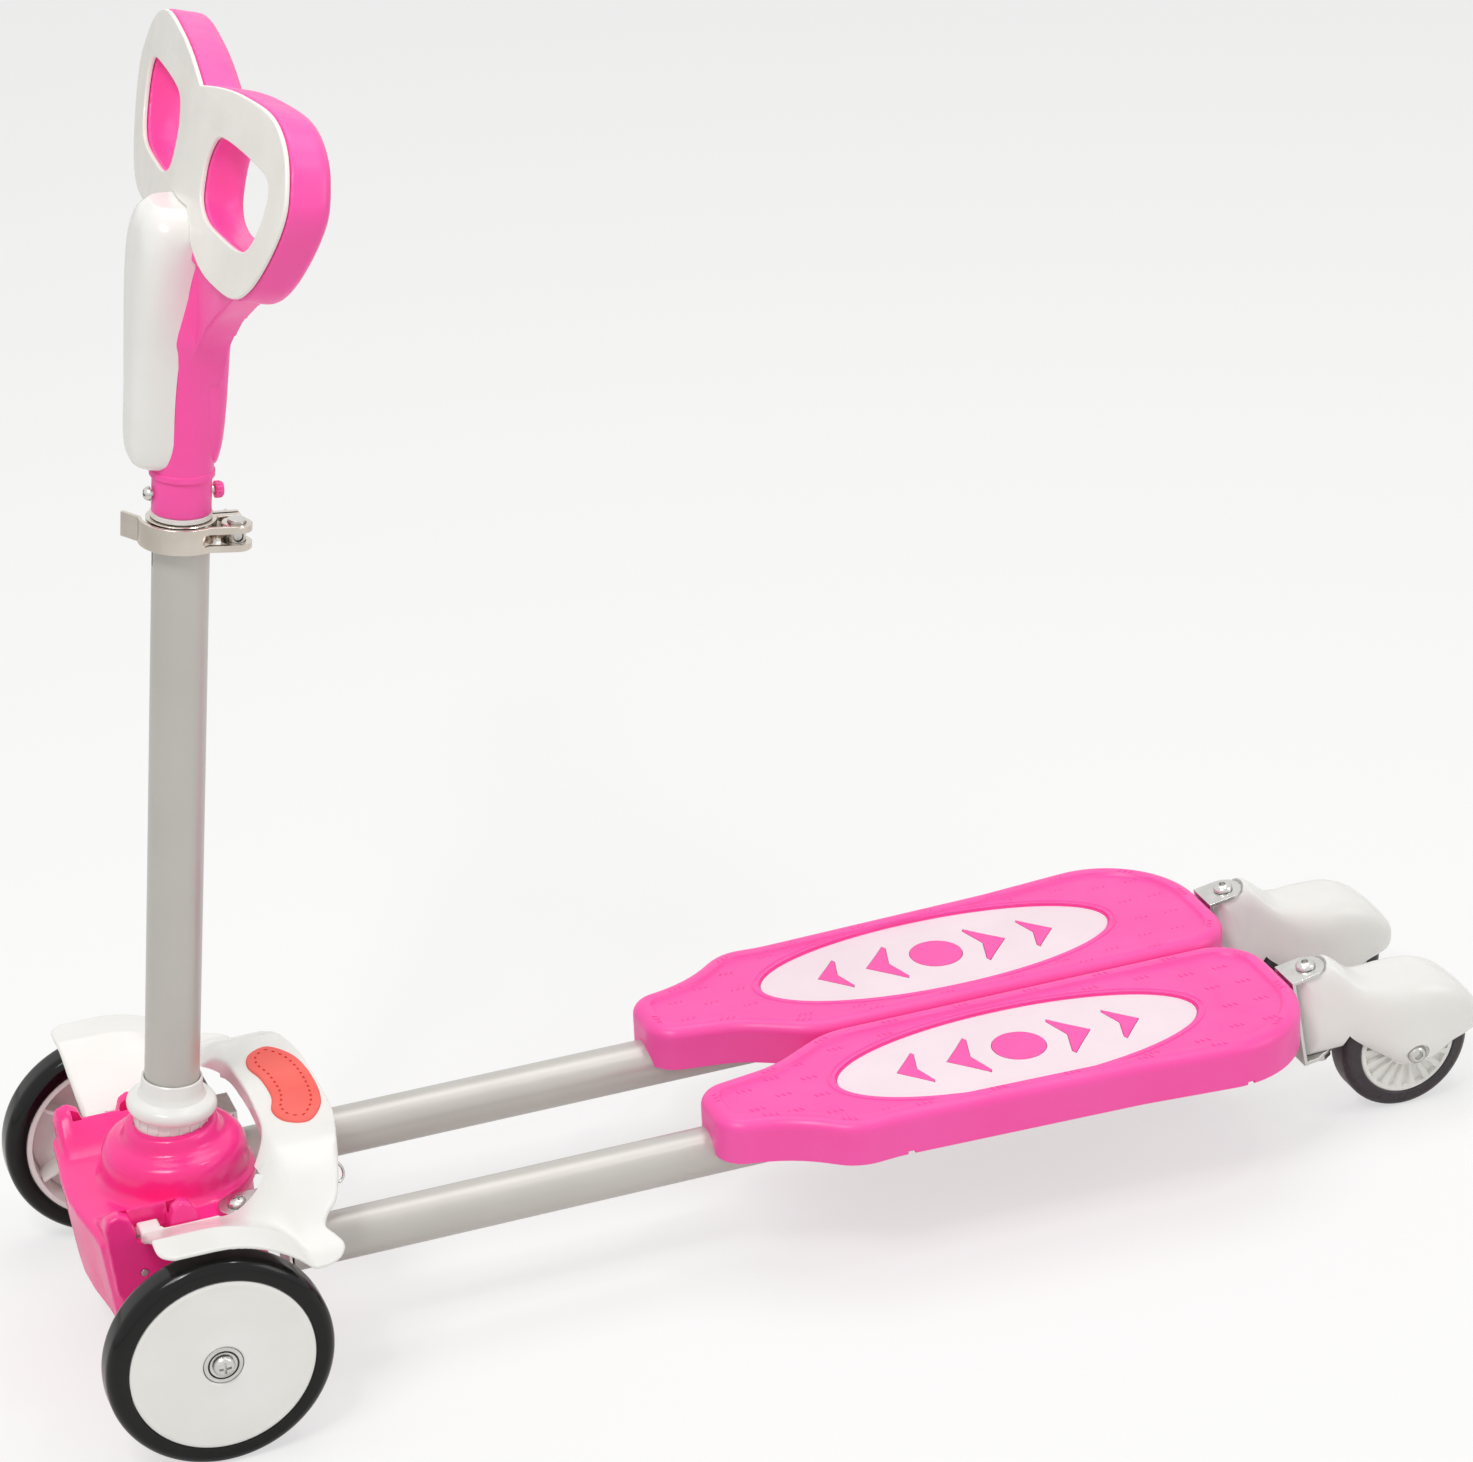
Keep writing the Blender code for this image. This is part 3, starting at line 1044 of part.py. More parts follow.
base_housing()
stem_parts()
clamp_parts()
clamp_lever()
handle_parts()
brake_pedal()
for side, sign in SIDES:
    front_wheel(side, sign)
    leg_pivot, caster_spot = leg(side, sign)
    caster(side, sign, leg_pivot, caster_spot)
bpy.context.view_layer.update()
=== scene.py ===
"""Four-wheel swing scooter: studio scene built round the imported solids.

Lengths are metres. Pieces are modelled with X from the front axle towards the casters, Y towards the
rider's right and Z up from the ground, then carried into the frame by AHEAD, or by STEM for what rides
on the raked stem.
"""
import json
from math import cos, pi, radians, sin

import bpy
from mathutils import Matrix, Vector

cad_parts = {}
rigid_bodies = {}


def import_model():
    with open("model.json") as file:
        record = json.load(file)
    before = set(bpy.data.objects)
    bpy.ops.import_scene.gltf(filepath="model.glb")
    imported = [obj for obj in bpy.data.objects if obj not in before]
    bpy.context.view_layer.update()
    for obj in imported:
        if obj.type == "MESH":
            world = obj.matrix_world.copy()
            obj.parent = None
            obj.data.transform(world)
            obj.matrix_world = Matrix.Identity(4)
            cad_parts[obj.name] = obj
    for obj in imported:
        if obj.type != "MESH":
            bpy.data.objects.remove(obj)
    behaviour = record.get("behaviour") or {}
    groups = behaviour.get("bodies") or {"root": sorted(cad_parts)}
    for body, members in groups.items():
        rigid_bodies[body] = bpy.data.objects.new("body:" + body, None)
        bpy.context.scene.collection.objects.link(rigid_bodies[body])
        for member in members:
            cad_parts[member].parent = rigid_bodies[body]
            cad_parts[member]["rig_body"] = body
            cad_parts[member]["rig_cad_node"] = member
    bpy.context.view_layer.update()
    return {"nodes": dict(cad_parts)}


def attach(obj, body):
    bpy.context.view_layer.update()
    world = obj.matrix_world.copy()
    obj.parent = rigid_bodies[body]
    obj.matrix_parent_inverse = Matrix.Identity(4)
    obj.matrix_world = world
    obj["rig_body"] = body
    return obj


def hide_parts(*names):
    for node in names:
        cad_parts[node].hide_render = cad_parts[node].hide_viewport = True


MM = 0.001
PHOTO_SIZE = (1473, 1462)

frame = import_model()
NODES = frame["nodes"]


# Colours and materials

def colour(hex_code):
    """An sRGB hex colour as linear RGBA."""
    parts = [int(hex_code[i:i + 2], 16) / 255 for i in (1, 3, 5)]
    return tuple(c / 12.92 if c <= 0.04045 else ((c + 0.055) / 1.055) ** 2.4 for c in parts) + (1.0,)


def add(tree, kind, sockets=None, **settings):
    """Add a node with its settings; sockets holds values, or another node's output to link."""
    node = tree.nodes.new(kind)
    for name, value in settings.items():
        setattr(node, name, value)
    for name, value in (sockets or {}).items():
        if isinstance(value, bpy.types.NodeSocket):
            tree.links.new(value, node.inputs[name])
        else:
            node.inputs[name].default_value = value
    return node


def finish_material(name, **shader_values):
    """A new material with its Principled shader set and an Object coordinate to pattern it by."""
    material = bpy.data.materials.new(name)
    material.use_nodes = True
    tree = material.node_tree
    shader = tree.nodes["Principled BSDF"]
    for socket, value in shader_values.items():
        shader.inputs[socket.replace("_", " ")].default_value = value
    place = add(tree, "ShaderNodeTexCoord").outputs["Object"]
    return material, tree, shader, place


def blotched(tree, place, light, dark, size_mm):
    """Two close shades in soft blotches about size_mm across."""
    noise = add(tree, "ShaderNodeTexNoise", {"Vector": place, "Scale": 1 / (size_mm * MM), "Detail": 3.0})
    ramp = add(tree, "ShaderNodeValToRGB", {"Fac": noise.outputs["Fac"]})
    ramp.color_ramp.elements[0].position = 0.35
    ramp.color_ramp.elements[1].position = 0.65
    ramp.color_ramp.elements[0].color = colour(dark)
    ramp.color_ramp.elements[1].color = colour(light)
    return ramp.outputs["Color"]


def grain(tree, place, size_mm, depth_mm):
    """Bump from a fine noise whose grains are size_mm across and depth_mm deep."""
    noise = add(tree, "ShaderNodeTexNoise", {"Vector": place, "Scale": 1 / (size_mm * MM), "Detail": 2.0})
    bump = add(tree, "ShaderNodeBump",
               {"Height": noise.outputs["Fac"], "Distance": depth_mm * MM, "Strength": 1.0})
    return bump.outputs["Normal"]


def uneven(tree, place, low, high, size_mm):
    """A roughness that drifts between two values in patches about size_mm across."""
    noise = add(tree, "ShaderNodeTexNoise", {"Vector": place, "Scale": 1 / (size_mm * MM), "Detail": 2.0})
    spread = add(tree, "ShaderNodeMapRange",
                 {"Value": noise.outputs["Fac"], "From Min": 0.3, "From Max": 0.7, "To Min": low,
                  "To Max": high})
    return spread.outputs["Result"]


def moulded(name, light, dark, rough_low, rough_high, grain_mm, depth_mm, **shader_values):
    """Injection-moulded plastic: even colour with faint flow shading, fine grain from the mould."""
    material, tree, shader, place = finish_material(name, **shader_values)
    tree.links.new(blotched(tree, place, light, dark, 45), shader.inputs["Base Color"])
    tree.links.new(uneven(tree, place, rough_low, rough_high, 12), shader.inputs["Roughness"])
    tree.links.new(grain(tree, place, grain_mm, depth_mm), shader.inputs["Normal"])
    return material


# Light sinks a few millimetres into pink polypropylene and comes back red
PINK_DEPTH = {"IOR": 1.49, "Subsurface_Weight": 0.08, "Subsurface_Radius": (0.004, 0.001, 0.002)}

# Polypropylene for the handle: satin, with a fine spark-eroded grain
hot_pink_pp = moulded("moulded_polypropylene_hot_pink", "#FF55AD", "#FF4FA8", 0.32, 0.42, 0.5, 0.008,
                      **PINK_DEPTH)
# The base housing is polished in the mould, so its pink is deeper and shows clear highlights
deep_pink_pp = moulded("polished_polypropylene_deep_pink", "#FF3696", "#FF2F8F", 0.18, 0.26, 1.2, 0.004,
                       **PINK_DEPTH)
# White polypropylene, glossy and faintly warm
white_pp = moulded("glossy_polypropylene_white", "#F1F0EC", "#ECEBE6", 0.18, 0.27, 1.5, 0.006,
                   IOR=1.49, Subsurface_Weight=0.1, Subsurface_Radius=(0.004, 0.004, 0.004))
# Pale plastic insert in each footboard, satin
inlay_pp = moulded("satin_polypropylene_pale_pink", "#F6E4EA", "#F2DFE6", 0.38, 0.48, 0.6, 0.01, IOR=1.49)
# Thermoplastic rubber pad on the foot brake, matt
pad_rubber = moulded("thermoplastic_rubber_coral", "#F66A60", "#F06057", 0.5, 0.62, 0.35, 0.02, IOR=1.5)
# Cast polyurethane tyre: near black, wet-looking gloss
tyre_pu = moulded("cast_polyurethane_black", "#121111", "#0D0C0C", 0.1, 0.16, 3.0, 0.004, IOR=1.5,
                   Specular_IOR_Level=0.28)
# Matt black ring in each bearing's groove: painted shadow of the shield's edge, not a rubber seal
shield_shadow_black = moulded("painted_shield_shadow_black", "#232224", "#1D1C1E", 0.45, 0.6, 0.4, 0.008, IOR=1.5)
# Rear tyre polyurethane, satin and slightly purple
rear_tyre_pu = moulded("cast_polyurethane_plum_grey", "#352C32", "#30272D", 0.24, 0.34, 3.0, 0.01, IOR=1.5)
# Handle face, a warmer white
face_pp = moulded("glossy_polypropylene_warm_white", "#F3F0EA", "#EEEAE3", 0.18, 0.27, 1.5, 0.006, IOR=1.49)
# Footboards, satin with a slightly lighter pink
deck_pp = moulded("moulded_polypropylene_light_pink", "#FF55B0", "#FF4FAB", 0.32, 0.42, 0.5, 0.008,
                  **PINK_DEPTH)


def metallic_paint():
    """Silver spray paint on steel tube: a soft satin grey with fine flake sparkle."""
    material, tree, shader, place = finish_material("silver_paint_on_steel_tube", Metallic=0.35, IOR=1.5,
                                                    Coat_Weight=0.25, Coat_Roughness=0.12)
    tree.links.new(blotched(tree, place, "#C3C0BA", "#BFBCB6", 60), shader.inputs["Base Color"])
    flake = add(tree, "ShaderNodeTexVoronoi", {"Vector": place, "Scale": 1 / (0.5 * MM)})
    spread = add(tree, "ShaderNodeMapRange",
                 {"Value": flake.outputs["Distance"], "To Min": 0.34, "To Max": 0.42})
    tree.links.new(spread.outputs["Result"], shader.inputs["Roughness"])
    tree.links.new(grain(tree, place, 1.4, 0.002), shader.inputs["Normal"])
    return material


def plated(name, light, dark, low, high, streak_mm):
    """Electroplated steel: bright metal whose finish drifts with the blasting under the plate."""
    material, tree, shader, place = finish_material(name, Metallic=1.0)
    tree.links.new(blotched(tree, place, light, dark, streak_mm), shader.inputs["Base Color"])
    tree.links.new(uneven(tree, place, low, high, 14), shader.inputs["Roughness"])
    tree.links.new(grain(tree, place, 0.8, 0.0015), shader.inputs["Normal"])
    return material


silver_paint = metallic_paint()
zinc_plate = plated("zinc_plated_steel", "#D4D3D0", "#CAC9C5", 0.2, 0.3, 9)
nickel_plate = plated("satin_nickel_plated_steel", "#D8D0C6", "#D0C6BB", 0.16, 0.24, 12)

# The record's slots with their finishes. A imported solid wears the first, where no piece stands for it
SLOTS = {
    "hot_pink_plastic": (hot_pink_pp, deck_pp),
    "deep_pink_plastic": (deep_pink_pp,),
    "white_plastic": (white_pp, face_pp),
    "pale_inlay_plastic": (inlay_pp,),
    "coral_pad_rubber": (pad_rubber,),
    "black_tyre": (tyre_pu, rear_tyre_pu, shield_shadow_black),
    "silver_painted_tube": (silver_paint,),
    "zinc_plated_steel": (zinc_plate,),
    "nickel_plate": (nickel_plate,),
}
for item in NODES.values():
    finish = SLOTS[item.data.materials[0].name][0]
    item.data.materials.clear()
    item.data.materials.append(finish)


# Places and sizes that several pieces share
FRONT_AXLE_X, FRONT_R = -0.35225, 0.06
LEG_X, LEG_Y, LEG_Z = 0.0325, 0.052, 0.07  # the leg bolts, and the lines that the legs run along
PIVOT_X, PIVOT_Z, LEAN = 0.661, 0.0722, radians(9.4)  # the caster bolts, leaning back
FORK_HALF = 0.0262  # from a pivot's middle to the inside of a fork plate
REAR_X, REAR_R = 0.7178, 0.04
HINGE_X, HINGE_Z = -0.0225, 0.0815  # the pedal pins
CHEEK_Z = 0.0214  # from a caster's middle to where its axle screw's head sits
BOLT_HOLE_R, PIN_HOLE_R = 0.0041, 0.0023
STEM_FOOT_X, STEM_FOOT_Z, STEM_LEAN = 0.0143, 0.15, radians(6.46)


# Modelling helpers


def start():
    """Leave object mode with nothing selected, so that an operator acts on new work alone."""
    if bpy.context.object and bpy.context.object.mode != "OBJECT":
        bpy.ops.object.mode_set(mode="OBJECT")
    bpy.ops.object.select_all(action="DESELECT")


def named(name):
    """Name the active object and its mesh, and hand it over."""
    item = bpy.context.object
    item.name = name
    item.data.name = name
    return item


def activate(item):
    start()
    item.select_set(True)
    bpy.context.view_layer.objects.active = item
    return item


def settle(item):
    """Apply the object's place to its mesh."""
    activate(item)
    bpy.ops.object.transform_apply(location=True, rotation=True, scale=True)
    return item


def edited(item, *steps):
    """Run mesh operators on the whole of a piece, each given with its settings."""
    activate(item)
    bpy.ops.object.mode_set(mode="EDIT")
    bpy.ops.mesh.select_all(action="SELECT")
    for operator, settings in steps:
        operator(**settings)
    bpy.ops.object.mode_set(mode="OBJECT")
    return item


def tidy_faces(item):
    """Merge doubles and point every face outwards."""
    return edited(item, (bpy.ops.mesh.remove_doubles, {"threshold": 0.000004}),
                  (bpy.ops.mesh.normals_make_consistent, {"inside": False}))


def modified(item, kind, **settings):
    """Add a modifier, set it and apply it."""
    activate(item)
    step = item.modifiers.new(kind.lower(), kind)
    for name, value in settings.items():
        setattr(step, name, value)
    bpy.ops.object.modifier_apply(modifier=step.name)
    return item


def softened(item, width_mm, segments=2, angle=32):
    """Round the edges sharper than an angle."""
    return modified(item, "BEVEL", width=width_mm * MM, segments=segments, limit_method="ANGLE",
                    angle_limit=radians(angle), use_clamp_overlap=True, harden_normals=False)


def smooth(item, angle=35):
    """Smooth shading up to an angle, with the broad faces kept flat."""
    activate(item)
    bpy.ops.object.shade_smooth_by_angle(angle=radians(angle))
    return modified(item, "WEIGHTED_NORMAL", keep_sharp=True, weight=80)


def combined(item, operation, *tools, solver="EXACT"):
    """Join the tools to the piece, cut them out of it or keep what they share, then remove them."""
    for tool in tools:
        modified(item, "BOOLEAN", operation=operation, solver=solver, object=tool)
        bpy.data.objects.remove(tool, do_unlink=True)
    return item


def carved(item, *tools, solver="EXACT"):
    """Cut the tools out of the piece."""
    return combined(item, "DIFFERENCE", *tools, solver=solver)


def moved(item, matrix):
    """Carry a mesh to its place; a mirrored one is turned right side out."""
    item.data.transform(matrix)
    if matrix.determinant() < 0:
        item.data.flip_normals()
    return item


def at(x, y, z):
    """A shift along each axis."""
    return Matrix.Translation((x, y, z))


def turned(angle, axis):
    """A turn in radians about X, Y or Z."""
    return Matrix.Rotation(angle, 4, axis)


def sided(sign):
    """What leaves Y as it is, or mirrors it for a sign of -1."""
    return Matrix.Diagonal((1, sign, 1, 1))


def fit(item, finish, body, *nodes, angle=35):
    """Finish a piece: its material, the body it rides on, the nodes it stands for, its shading."""
    item.data.materials.clear()
    item.data.materials.append(finish)
    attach(item, body)
    if nodes:
        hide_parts(*nodes)
    return smooth(item, angle)


SORT_FROM = (0.913, 0.371, 0.157)  # off every plane of symmetry, so that no two distances are the same


def spun(name, profile, steps=72, ring=False):
    """Rings extruded one from the next along a profile of (radius, height), round Z."""
    start()
    radius, height = profile[0]
    bpy.ops.mesh.primitive_circle_add(vertices=steps, radius=radius, location=(0, 0, height),
                                      fill_type="NOTHING" if ring else "NGON")
    item = settle(named(name))
    bpy.ops.object.mode_set(mode="EDIT")
    bpy.ops.mesh.select_all(action="SELECT")
    for (before, low), (after, high) in zip(profile, profile[1:] + (profile[:1] if ring else [])):
        bpy.ops.mesh.extrude_region_move(TRANSFORM_OT_translate={"value": (0, 0, high - low)})
        bpy.ops.transform.resize(value=(after / before, after / before, 1), center_override=(0, 0, high))
    bpy.ops.object.mode_set(mode="OBJECT")
    tidy_faces(item)
    # extruding leaves the parts of a mesh in an order that changes from run to run
    cursor = bpy.context.scene.cursor
    cursor.location = SORT_FROM
    edited(item, (bpy.ops.mesh.sort_elements,
                  {"type": "CURSOR_DISTANCE", "elements": {"VERT", "EDGE", "FACE"}}))
    cursor.location = (0, 0, 0)
    return item


def bow(radius, start_deg, end_deg, count, centre=(0, 0)):
    """Points on an arc, angles in degrees."""
    turns = [radians(start_deg + (end_deg - start_deg) * i / (count - 1)) for i in range(count)]
    return [(centre[0] + radius * cos(a), centre[1] + radius * sin(a)) for a in turns]


def eased_curve(points, steps, closed=True):
    """A Catmull-Rom curve through points of any dimension, closed or kept to its two ends."""
    path = []
    count = len(points)
    for i in range(count if closed else count - 1):
        b, c = points[i], points[(i + 1) % count]
        a = points[i - 1] if closed or i else b
        d = points[(i + 2) % count] if closed or i + 2 < count else c
        for j in range(steps):
            t = j / steps
            path.append(tuple(0.5 * (2 * q + (r - p) * t + (2 * p - 5 * q + 4 * r - s) * t * t
                                     + (3 * q - p - 3 * r + s) * t ** 3) for p, q, r, s in zip(a, b, c, d)))
    return path if closed else path + [tuple(points[-1])]


def anticlockwise(loop):
    """Whether an outline runs anticlockwise."""
    return sum(a[0] * b[1] - b[0] * a[1] for a, b in zip(loop, loop[1:] + loop[:1])) > 0


def plate(name, loops, low, high, edge_mm=0.0, edge_steps=3):
    """An outline with holes, drawn as a curve, given thickness and rounded edges, then made a mesh."""
    start()
    edge = edge_mm * MM
    loops = [loop if anticlockwise(loop) == (i == 0) else loop[::-1] for i, loop in enumerate(loops)]
    bpy.ops.curve.primitive_bezier_circle_add(location=(0, 0, 0))
    item = named(name)
    curve = item.data
    curve.splines.clear()
    curve.dimensions = "2D"
    curve.fill_mode = "BOTH"
    curve.extrude = (high - low) / 2 - edge
    curve.bevel_depth = edge
    curve.bevel_resolution = edge_steps - 1
    curve.offset = -edge
    for loop in loops:
        spline = curve.splines.new("POLY")
        spline.points.add(len(loop) - 1)
        for point, (x, y) in zip(spline.points, loop):
            point.co = (x, y, 0, 1)
        spline.use_cyclic_u = True
    bpy.ops.object.convert(target="MESH")
    item = tidy_faces(named(name))
    item.data.transform(at(0, 0, (low + high) / 2))
    return item


def skin(name, rings, caps=True):
    """A grid whose rows are set to the closed sections of a form, in turn, with its ends filled."""
    start()
    columns = len(rings[0]) + 1
    bpy.ops.mesh.primitive_grid_add(x_subdivisions=columns - 1, y_subdivisions=len(rings) - 1)
    item = named(name)
    spots = [ring[i % len(ring)] for ring in rings for i in range(columns)]
    item.data.vertices.foreach_set("co", [value for spot in spots for value in spot])
    item.data.update()
    tidy_faces(item)
    if caps:
        tidy_faces(edited(item, (bpy.ops.mesh.fill_holes, {"sides": 0})))
    return item


def joined(name, pieces):
    """Several pieces as one object, each with its own faces."""
    start()
    for piece in pieces:
        piece.select_set(True)
    bpy.context.view_layer.objects.active = pieces[0]
    bpy.ops.object.join()
    return named(name)


def fused(name, pieces, voxel_mm, rounds):
    """Overlapping solids melted into one moulded skin whose edges are then rounded."""
    item = joined(name, pieces)
    modified(item, "REMESH", mode="VOXEL", voxel_size=voxel_mm * MM)
    modified(item, "SMOOTH", factor=0.5, iterations=rounds)
    activate(item)
    bpy.ops.object.shade_smooth()
    return item


def post(name, radius, low, high, sides=48, matrix=Matrix()):
    """A round or many-sided tool along Z, for cutting or joining."""
    start()
    bpy.ops.mesh.primitive_cylinder_add(vertices=sides, radius=radius, depth=high - low,
                                        location=(0, 0, (low + high) / 2))
    return moved(settle(named(name)), matrix)


def block(name, low, high, matrix=Matrix()):
    """A plain box for cutting or joining, between two corners."""
    start()
    bpy.ops.mesh.primitive_cube_add(size=1, location=[(a + b) / 2 for a, b in zip(low, high)],
                                    scale=[b - a for a, b in zip(low, high)])
    return moved(settle(named(name)), matrix)


def copied(node, name):
    """A node's own shape as a new mesh, its loose triangles merged so that it can be worked."""
    item = NODES[node].copy()
    item.data = NODES[node].data.copy()
    item.name = item.data.name = name
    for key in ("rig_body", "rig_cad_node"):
        if key in item:
            del item[key]
    item.parent = None
    bpy.context.collection.objects.link(item)
    return edited(item, (bpy.ops.mesh.remove_doubles, {"threshold": 0.00001}),
                  (bpy.ops.mesh.dissolve_limited, {"angle_limit": radians(0.5)}))


AHEAD = at(FRONT_AXLE_X, 0, 0)
STEM = AHEAD @ at(STEM_FOOT_X, 0, STEM_FOOT_Z) @ turned(STEM_LEAN, "Y")


def pair(item, finish, body, *nodes):
    """Fit a left-hand piece and a mirrored copy with its own mesh; %s stands for the side."""
    other = item.copy()
    other.data = item.data.copy()
    other.name = other.data.name = item.name.replace("left", "right")
    bpy.context.collection.objects.link(other)
    moved(other, sided(-1))
    for side, piece in (("left", item), ("right", other)):
        fit(piece, finish, body % side if "%s" in body else body, *[node % side for node in nodes])


def cross_recess(item, top, reach, width, depth):
    """Two crossed slots sunk in a screw head."""
    slots = [
        block("slot", (-reach, -width, top - depth), (reach, width, top + 0.002)),
        block("slot", (-width, -reach, top - depth), (width, reach, top + 0.002))]
    return carved(item, *slots)


# Front wheels: cast tyre, moulded disc with six ribs behind, bearing with a ring of painted shadow in its
# groove, pan-head axle screw
DISC_R, FRONT_HALF, FRONT_Y = 0.049, 0.0105, 0.1215
FRONT_LEFT = AHEAD @ at(0, -FRONT_Y, FRONT_R) @ turned(pi / 2, "X")


def two_faced(half):
    """A wheel part's profile from that of its near half."""
    return half + [(r, -z) for r, z in reversed(half)]


def front_wheels():
    h = FRONT_HALF
    half = [(DISC_R + 0.0002, h - 0.0007), (DISC_R + 0.0012, h - 0.0001)]
    half += bow(0.0068, 82, 4, 9, (FRONT_R - 0.0068, 0.0037)) + [(FRONT_R, 0.0012)]
    tyre = spun("tyre_front_left", two_faced(half), 112, ring=True)
    pair(moved(tyre, FRONT_LEFT), tyre_pu, "front_wheel_%s", "front_tyre_%s")

    seat, hub = 0.0108, 0.015
    face = [
        (seat, h - 0.0006), (seat + 0.0008, h), (0.0135, h), (0.02, h - 0.0004), (0.044, h - 0.0004),
        (0.0462, h + 0.0001), (0.0478, h), (0.0487, h - 0.0006), (DISC_R, h - 0.0016),
        (DISC_R, -h + 0.0016), (0.0484, -h + 0.001), (0.0458, -h + 0.001), (0.0442, h - 0.003),
        (0.043, h - 0.0042), (hub + 0.0014, h - 0.0042), (hub + 0.0004, h - 0.006), (hub, -h + 0.0004),
        (seat, -h + 0.0004)]
    disc = spun("disc_front_left", face, 112, ring=True)
    for i in range(3):
        turn = turned(pi * (i + 0.4) / 3, "Z")
        for way in (-1, 1):
            ends = sorted((way * 0.0146, way * 0.045))
            rib = block("rib", (ends[0], -0.001, -h + 0.0032), (ends[1], 0.001, h - 0.0035))
            combined(disc, "UNION", moved(softened(rib, 0.4), turn))
    pair(moved(disc, FRONT_LEFT), white_pp, "front_wheel_%s", "front_disc_%s")

    wide, narrow = 0.0105, 0.0042
    rings = [
        (wide, h - 0.001), (wide - 0.0003, h - 0.0006), (0.0083, h - 0.0006), (0.0082, h - 0.0013),
        (0.0074, h - 0.0013), (0.0073, h - 0.0006), (narrow, h - 0.0006)]
    bearing = spun("bearing_front_left", two_faced(rings), 64, ring=True)
    pair(moved(bearing, FRONT_LEFT), zinc_plate, "front_wheel_%s", "front_bearing_%s")
    # a thin matt black ring in the bearing's groove paints the shadow line under the shield's edge
    lip = [(0.0082, h - 0.0012), (0.0081, h - 0.001), (0.0075, h - 0.001), (0.0074, h - 0.0012)]
    shadow_ring = spun("bearing_seal_left", lip + [(0.0074, h - 0.0014), (0.0082, h - 0.0014)], 64, ring=True)
    pair(moved(shadow_ring, FRONT_LEFT), shield_shadow_black, "front_wheel_%s")

    under = h + 0.0002
    head = [
        (0.001, under + 0.0032), (0.0024, under + 0.0031), (0.004, under + 0.0027),
        (0.0051, under + 0.0019), (0.0057, under + 0.0008), (0.0058, under), (0.0039, under - 0.0001),
        (0.0039, 0.064 - FRONT_Y)]
    screw = cross_recess(spun("axle_screw_front_left", head, 48), under + 0.0032, 0.0033, 0.0007, 0.0022)
    pair(moved(screw, FRONT_LEFT), zinc_plate, "base", "front_axle_bolt_%s")


# Rear wheels: narrow tyre, fluted hub, axle screw sunk in the caster's cheek
REAR_HALF, HUB_R = 0.0115, 0.0298
REAR_LEFT = AHEAD @ at(REAR_X, -LEG_Y, REAR_R) @ turned(pi / 2, "X")


def rear_wheels():
    h = REAR_HALF
    half = [(HUB_R + 0.0002, h - 0.0006), (HUB_R + 0.001, h - 0.0001)]
    half += bow(0.0058, 80, 4, 8, (REAR_R - 0.0058, 0.0054)) + [(REAR_R, 0.0015)]
    tyre = spun("tyre_rear_left", two_faced(half), 96, ring=True)
    pair(moved(tyre, REAR_LEFT), rear_tyre_pu, "rear_wheel_%s", "rear_tyre_%s")

    flutes, per_flute, flute_depth = 18, 8, 0.0022
    face = [
        (0.0043, h + 0.0011, 0), (0.0086, h + 0.0011, 0), (0.0092, h + 0.0006, 0), (0.0122, h - 0.0004, 0),
        (0.0134, h - 0.0008, 1), (0.0262, h - 0.0008, 1), (0.027, h - 0.0003, 0), (0.029, h - 0.0003, 0),
        (HUB_R, h - 0.001, 0)]
    back = [(HUB_R, -h + 0.001, 0), (0.029, -h + 0.0003, 0), (0.0043, -h + 0.0003, 0)]
    columns = []
    for i in range(flutes * per_flute):
        a = 2 * pi * i / (flutes * per_flute)
        sunk = flute_depth if i % per_flute in (2, 3, 4, 5) else 0.0
        columns.append([(r * cos(a), r * sin(a), z - sunk * fluted) for r, z, fluted in face + back])
    rows = [list(row) for row in zip(*columns)]
    hub = skin("hub_rear_left", rows + rows[:1], caps=False)
    pair(moved(hub, REAR_LEFT), white_pp, "rear_wheel_%s", "rear_hub_%s")

    under = CHEEK_Z + 0.0002
    head = [
        (0.001, under + 0.0027), (0.004, under + 0.0026), (0.0054, under + 0.0014), (0.0058, under),
        (0.004, under - 0.0001), (0.004, -0.0224)]
    screw = spun("axle_screw_rear_left", head, 48)
    socket = post("socket", 0.0031, under + 0.0006, under + 0.006, 6)
    pair(moved(carved(screw, socket), REAR_LEFT), zinc_plate, "caster_%s", "rear_axle_bolt_%s")


# Steel tubes and the white collar
STEM_R, STEM_TOP, STEM_LOW = 0.0145, 0.3222, -0.06


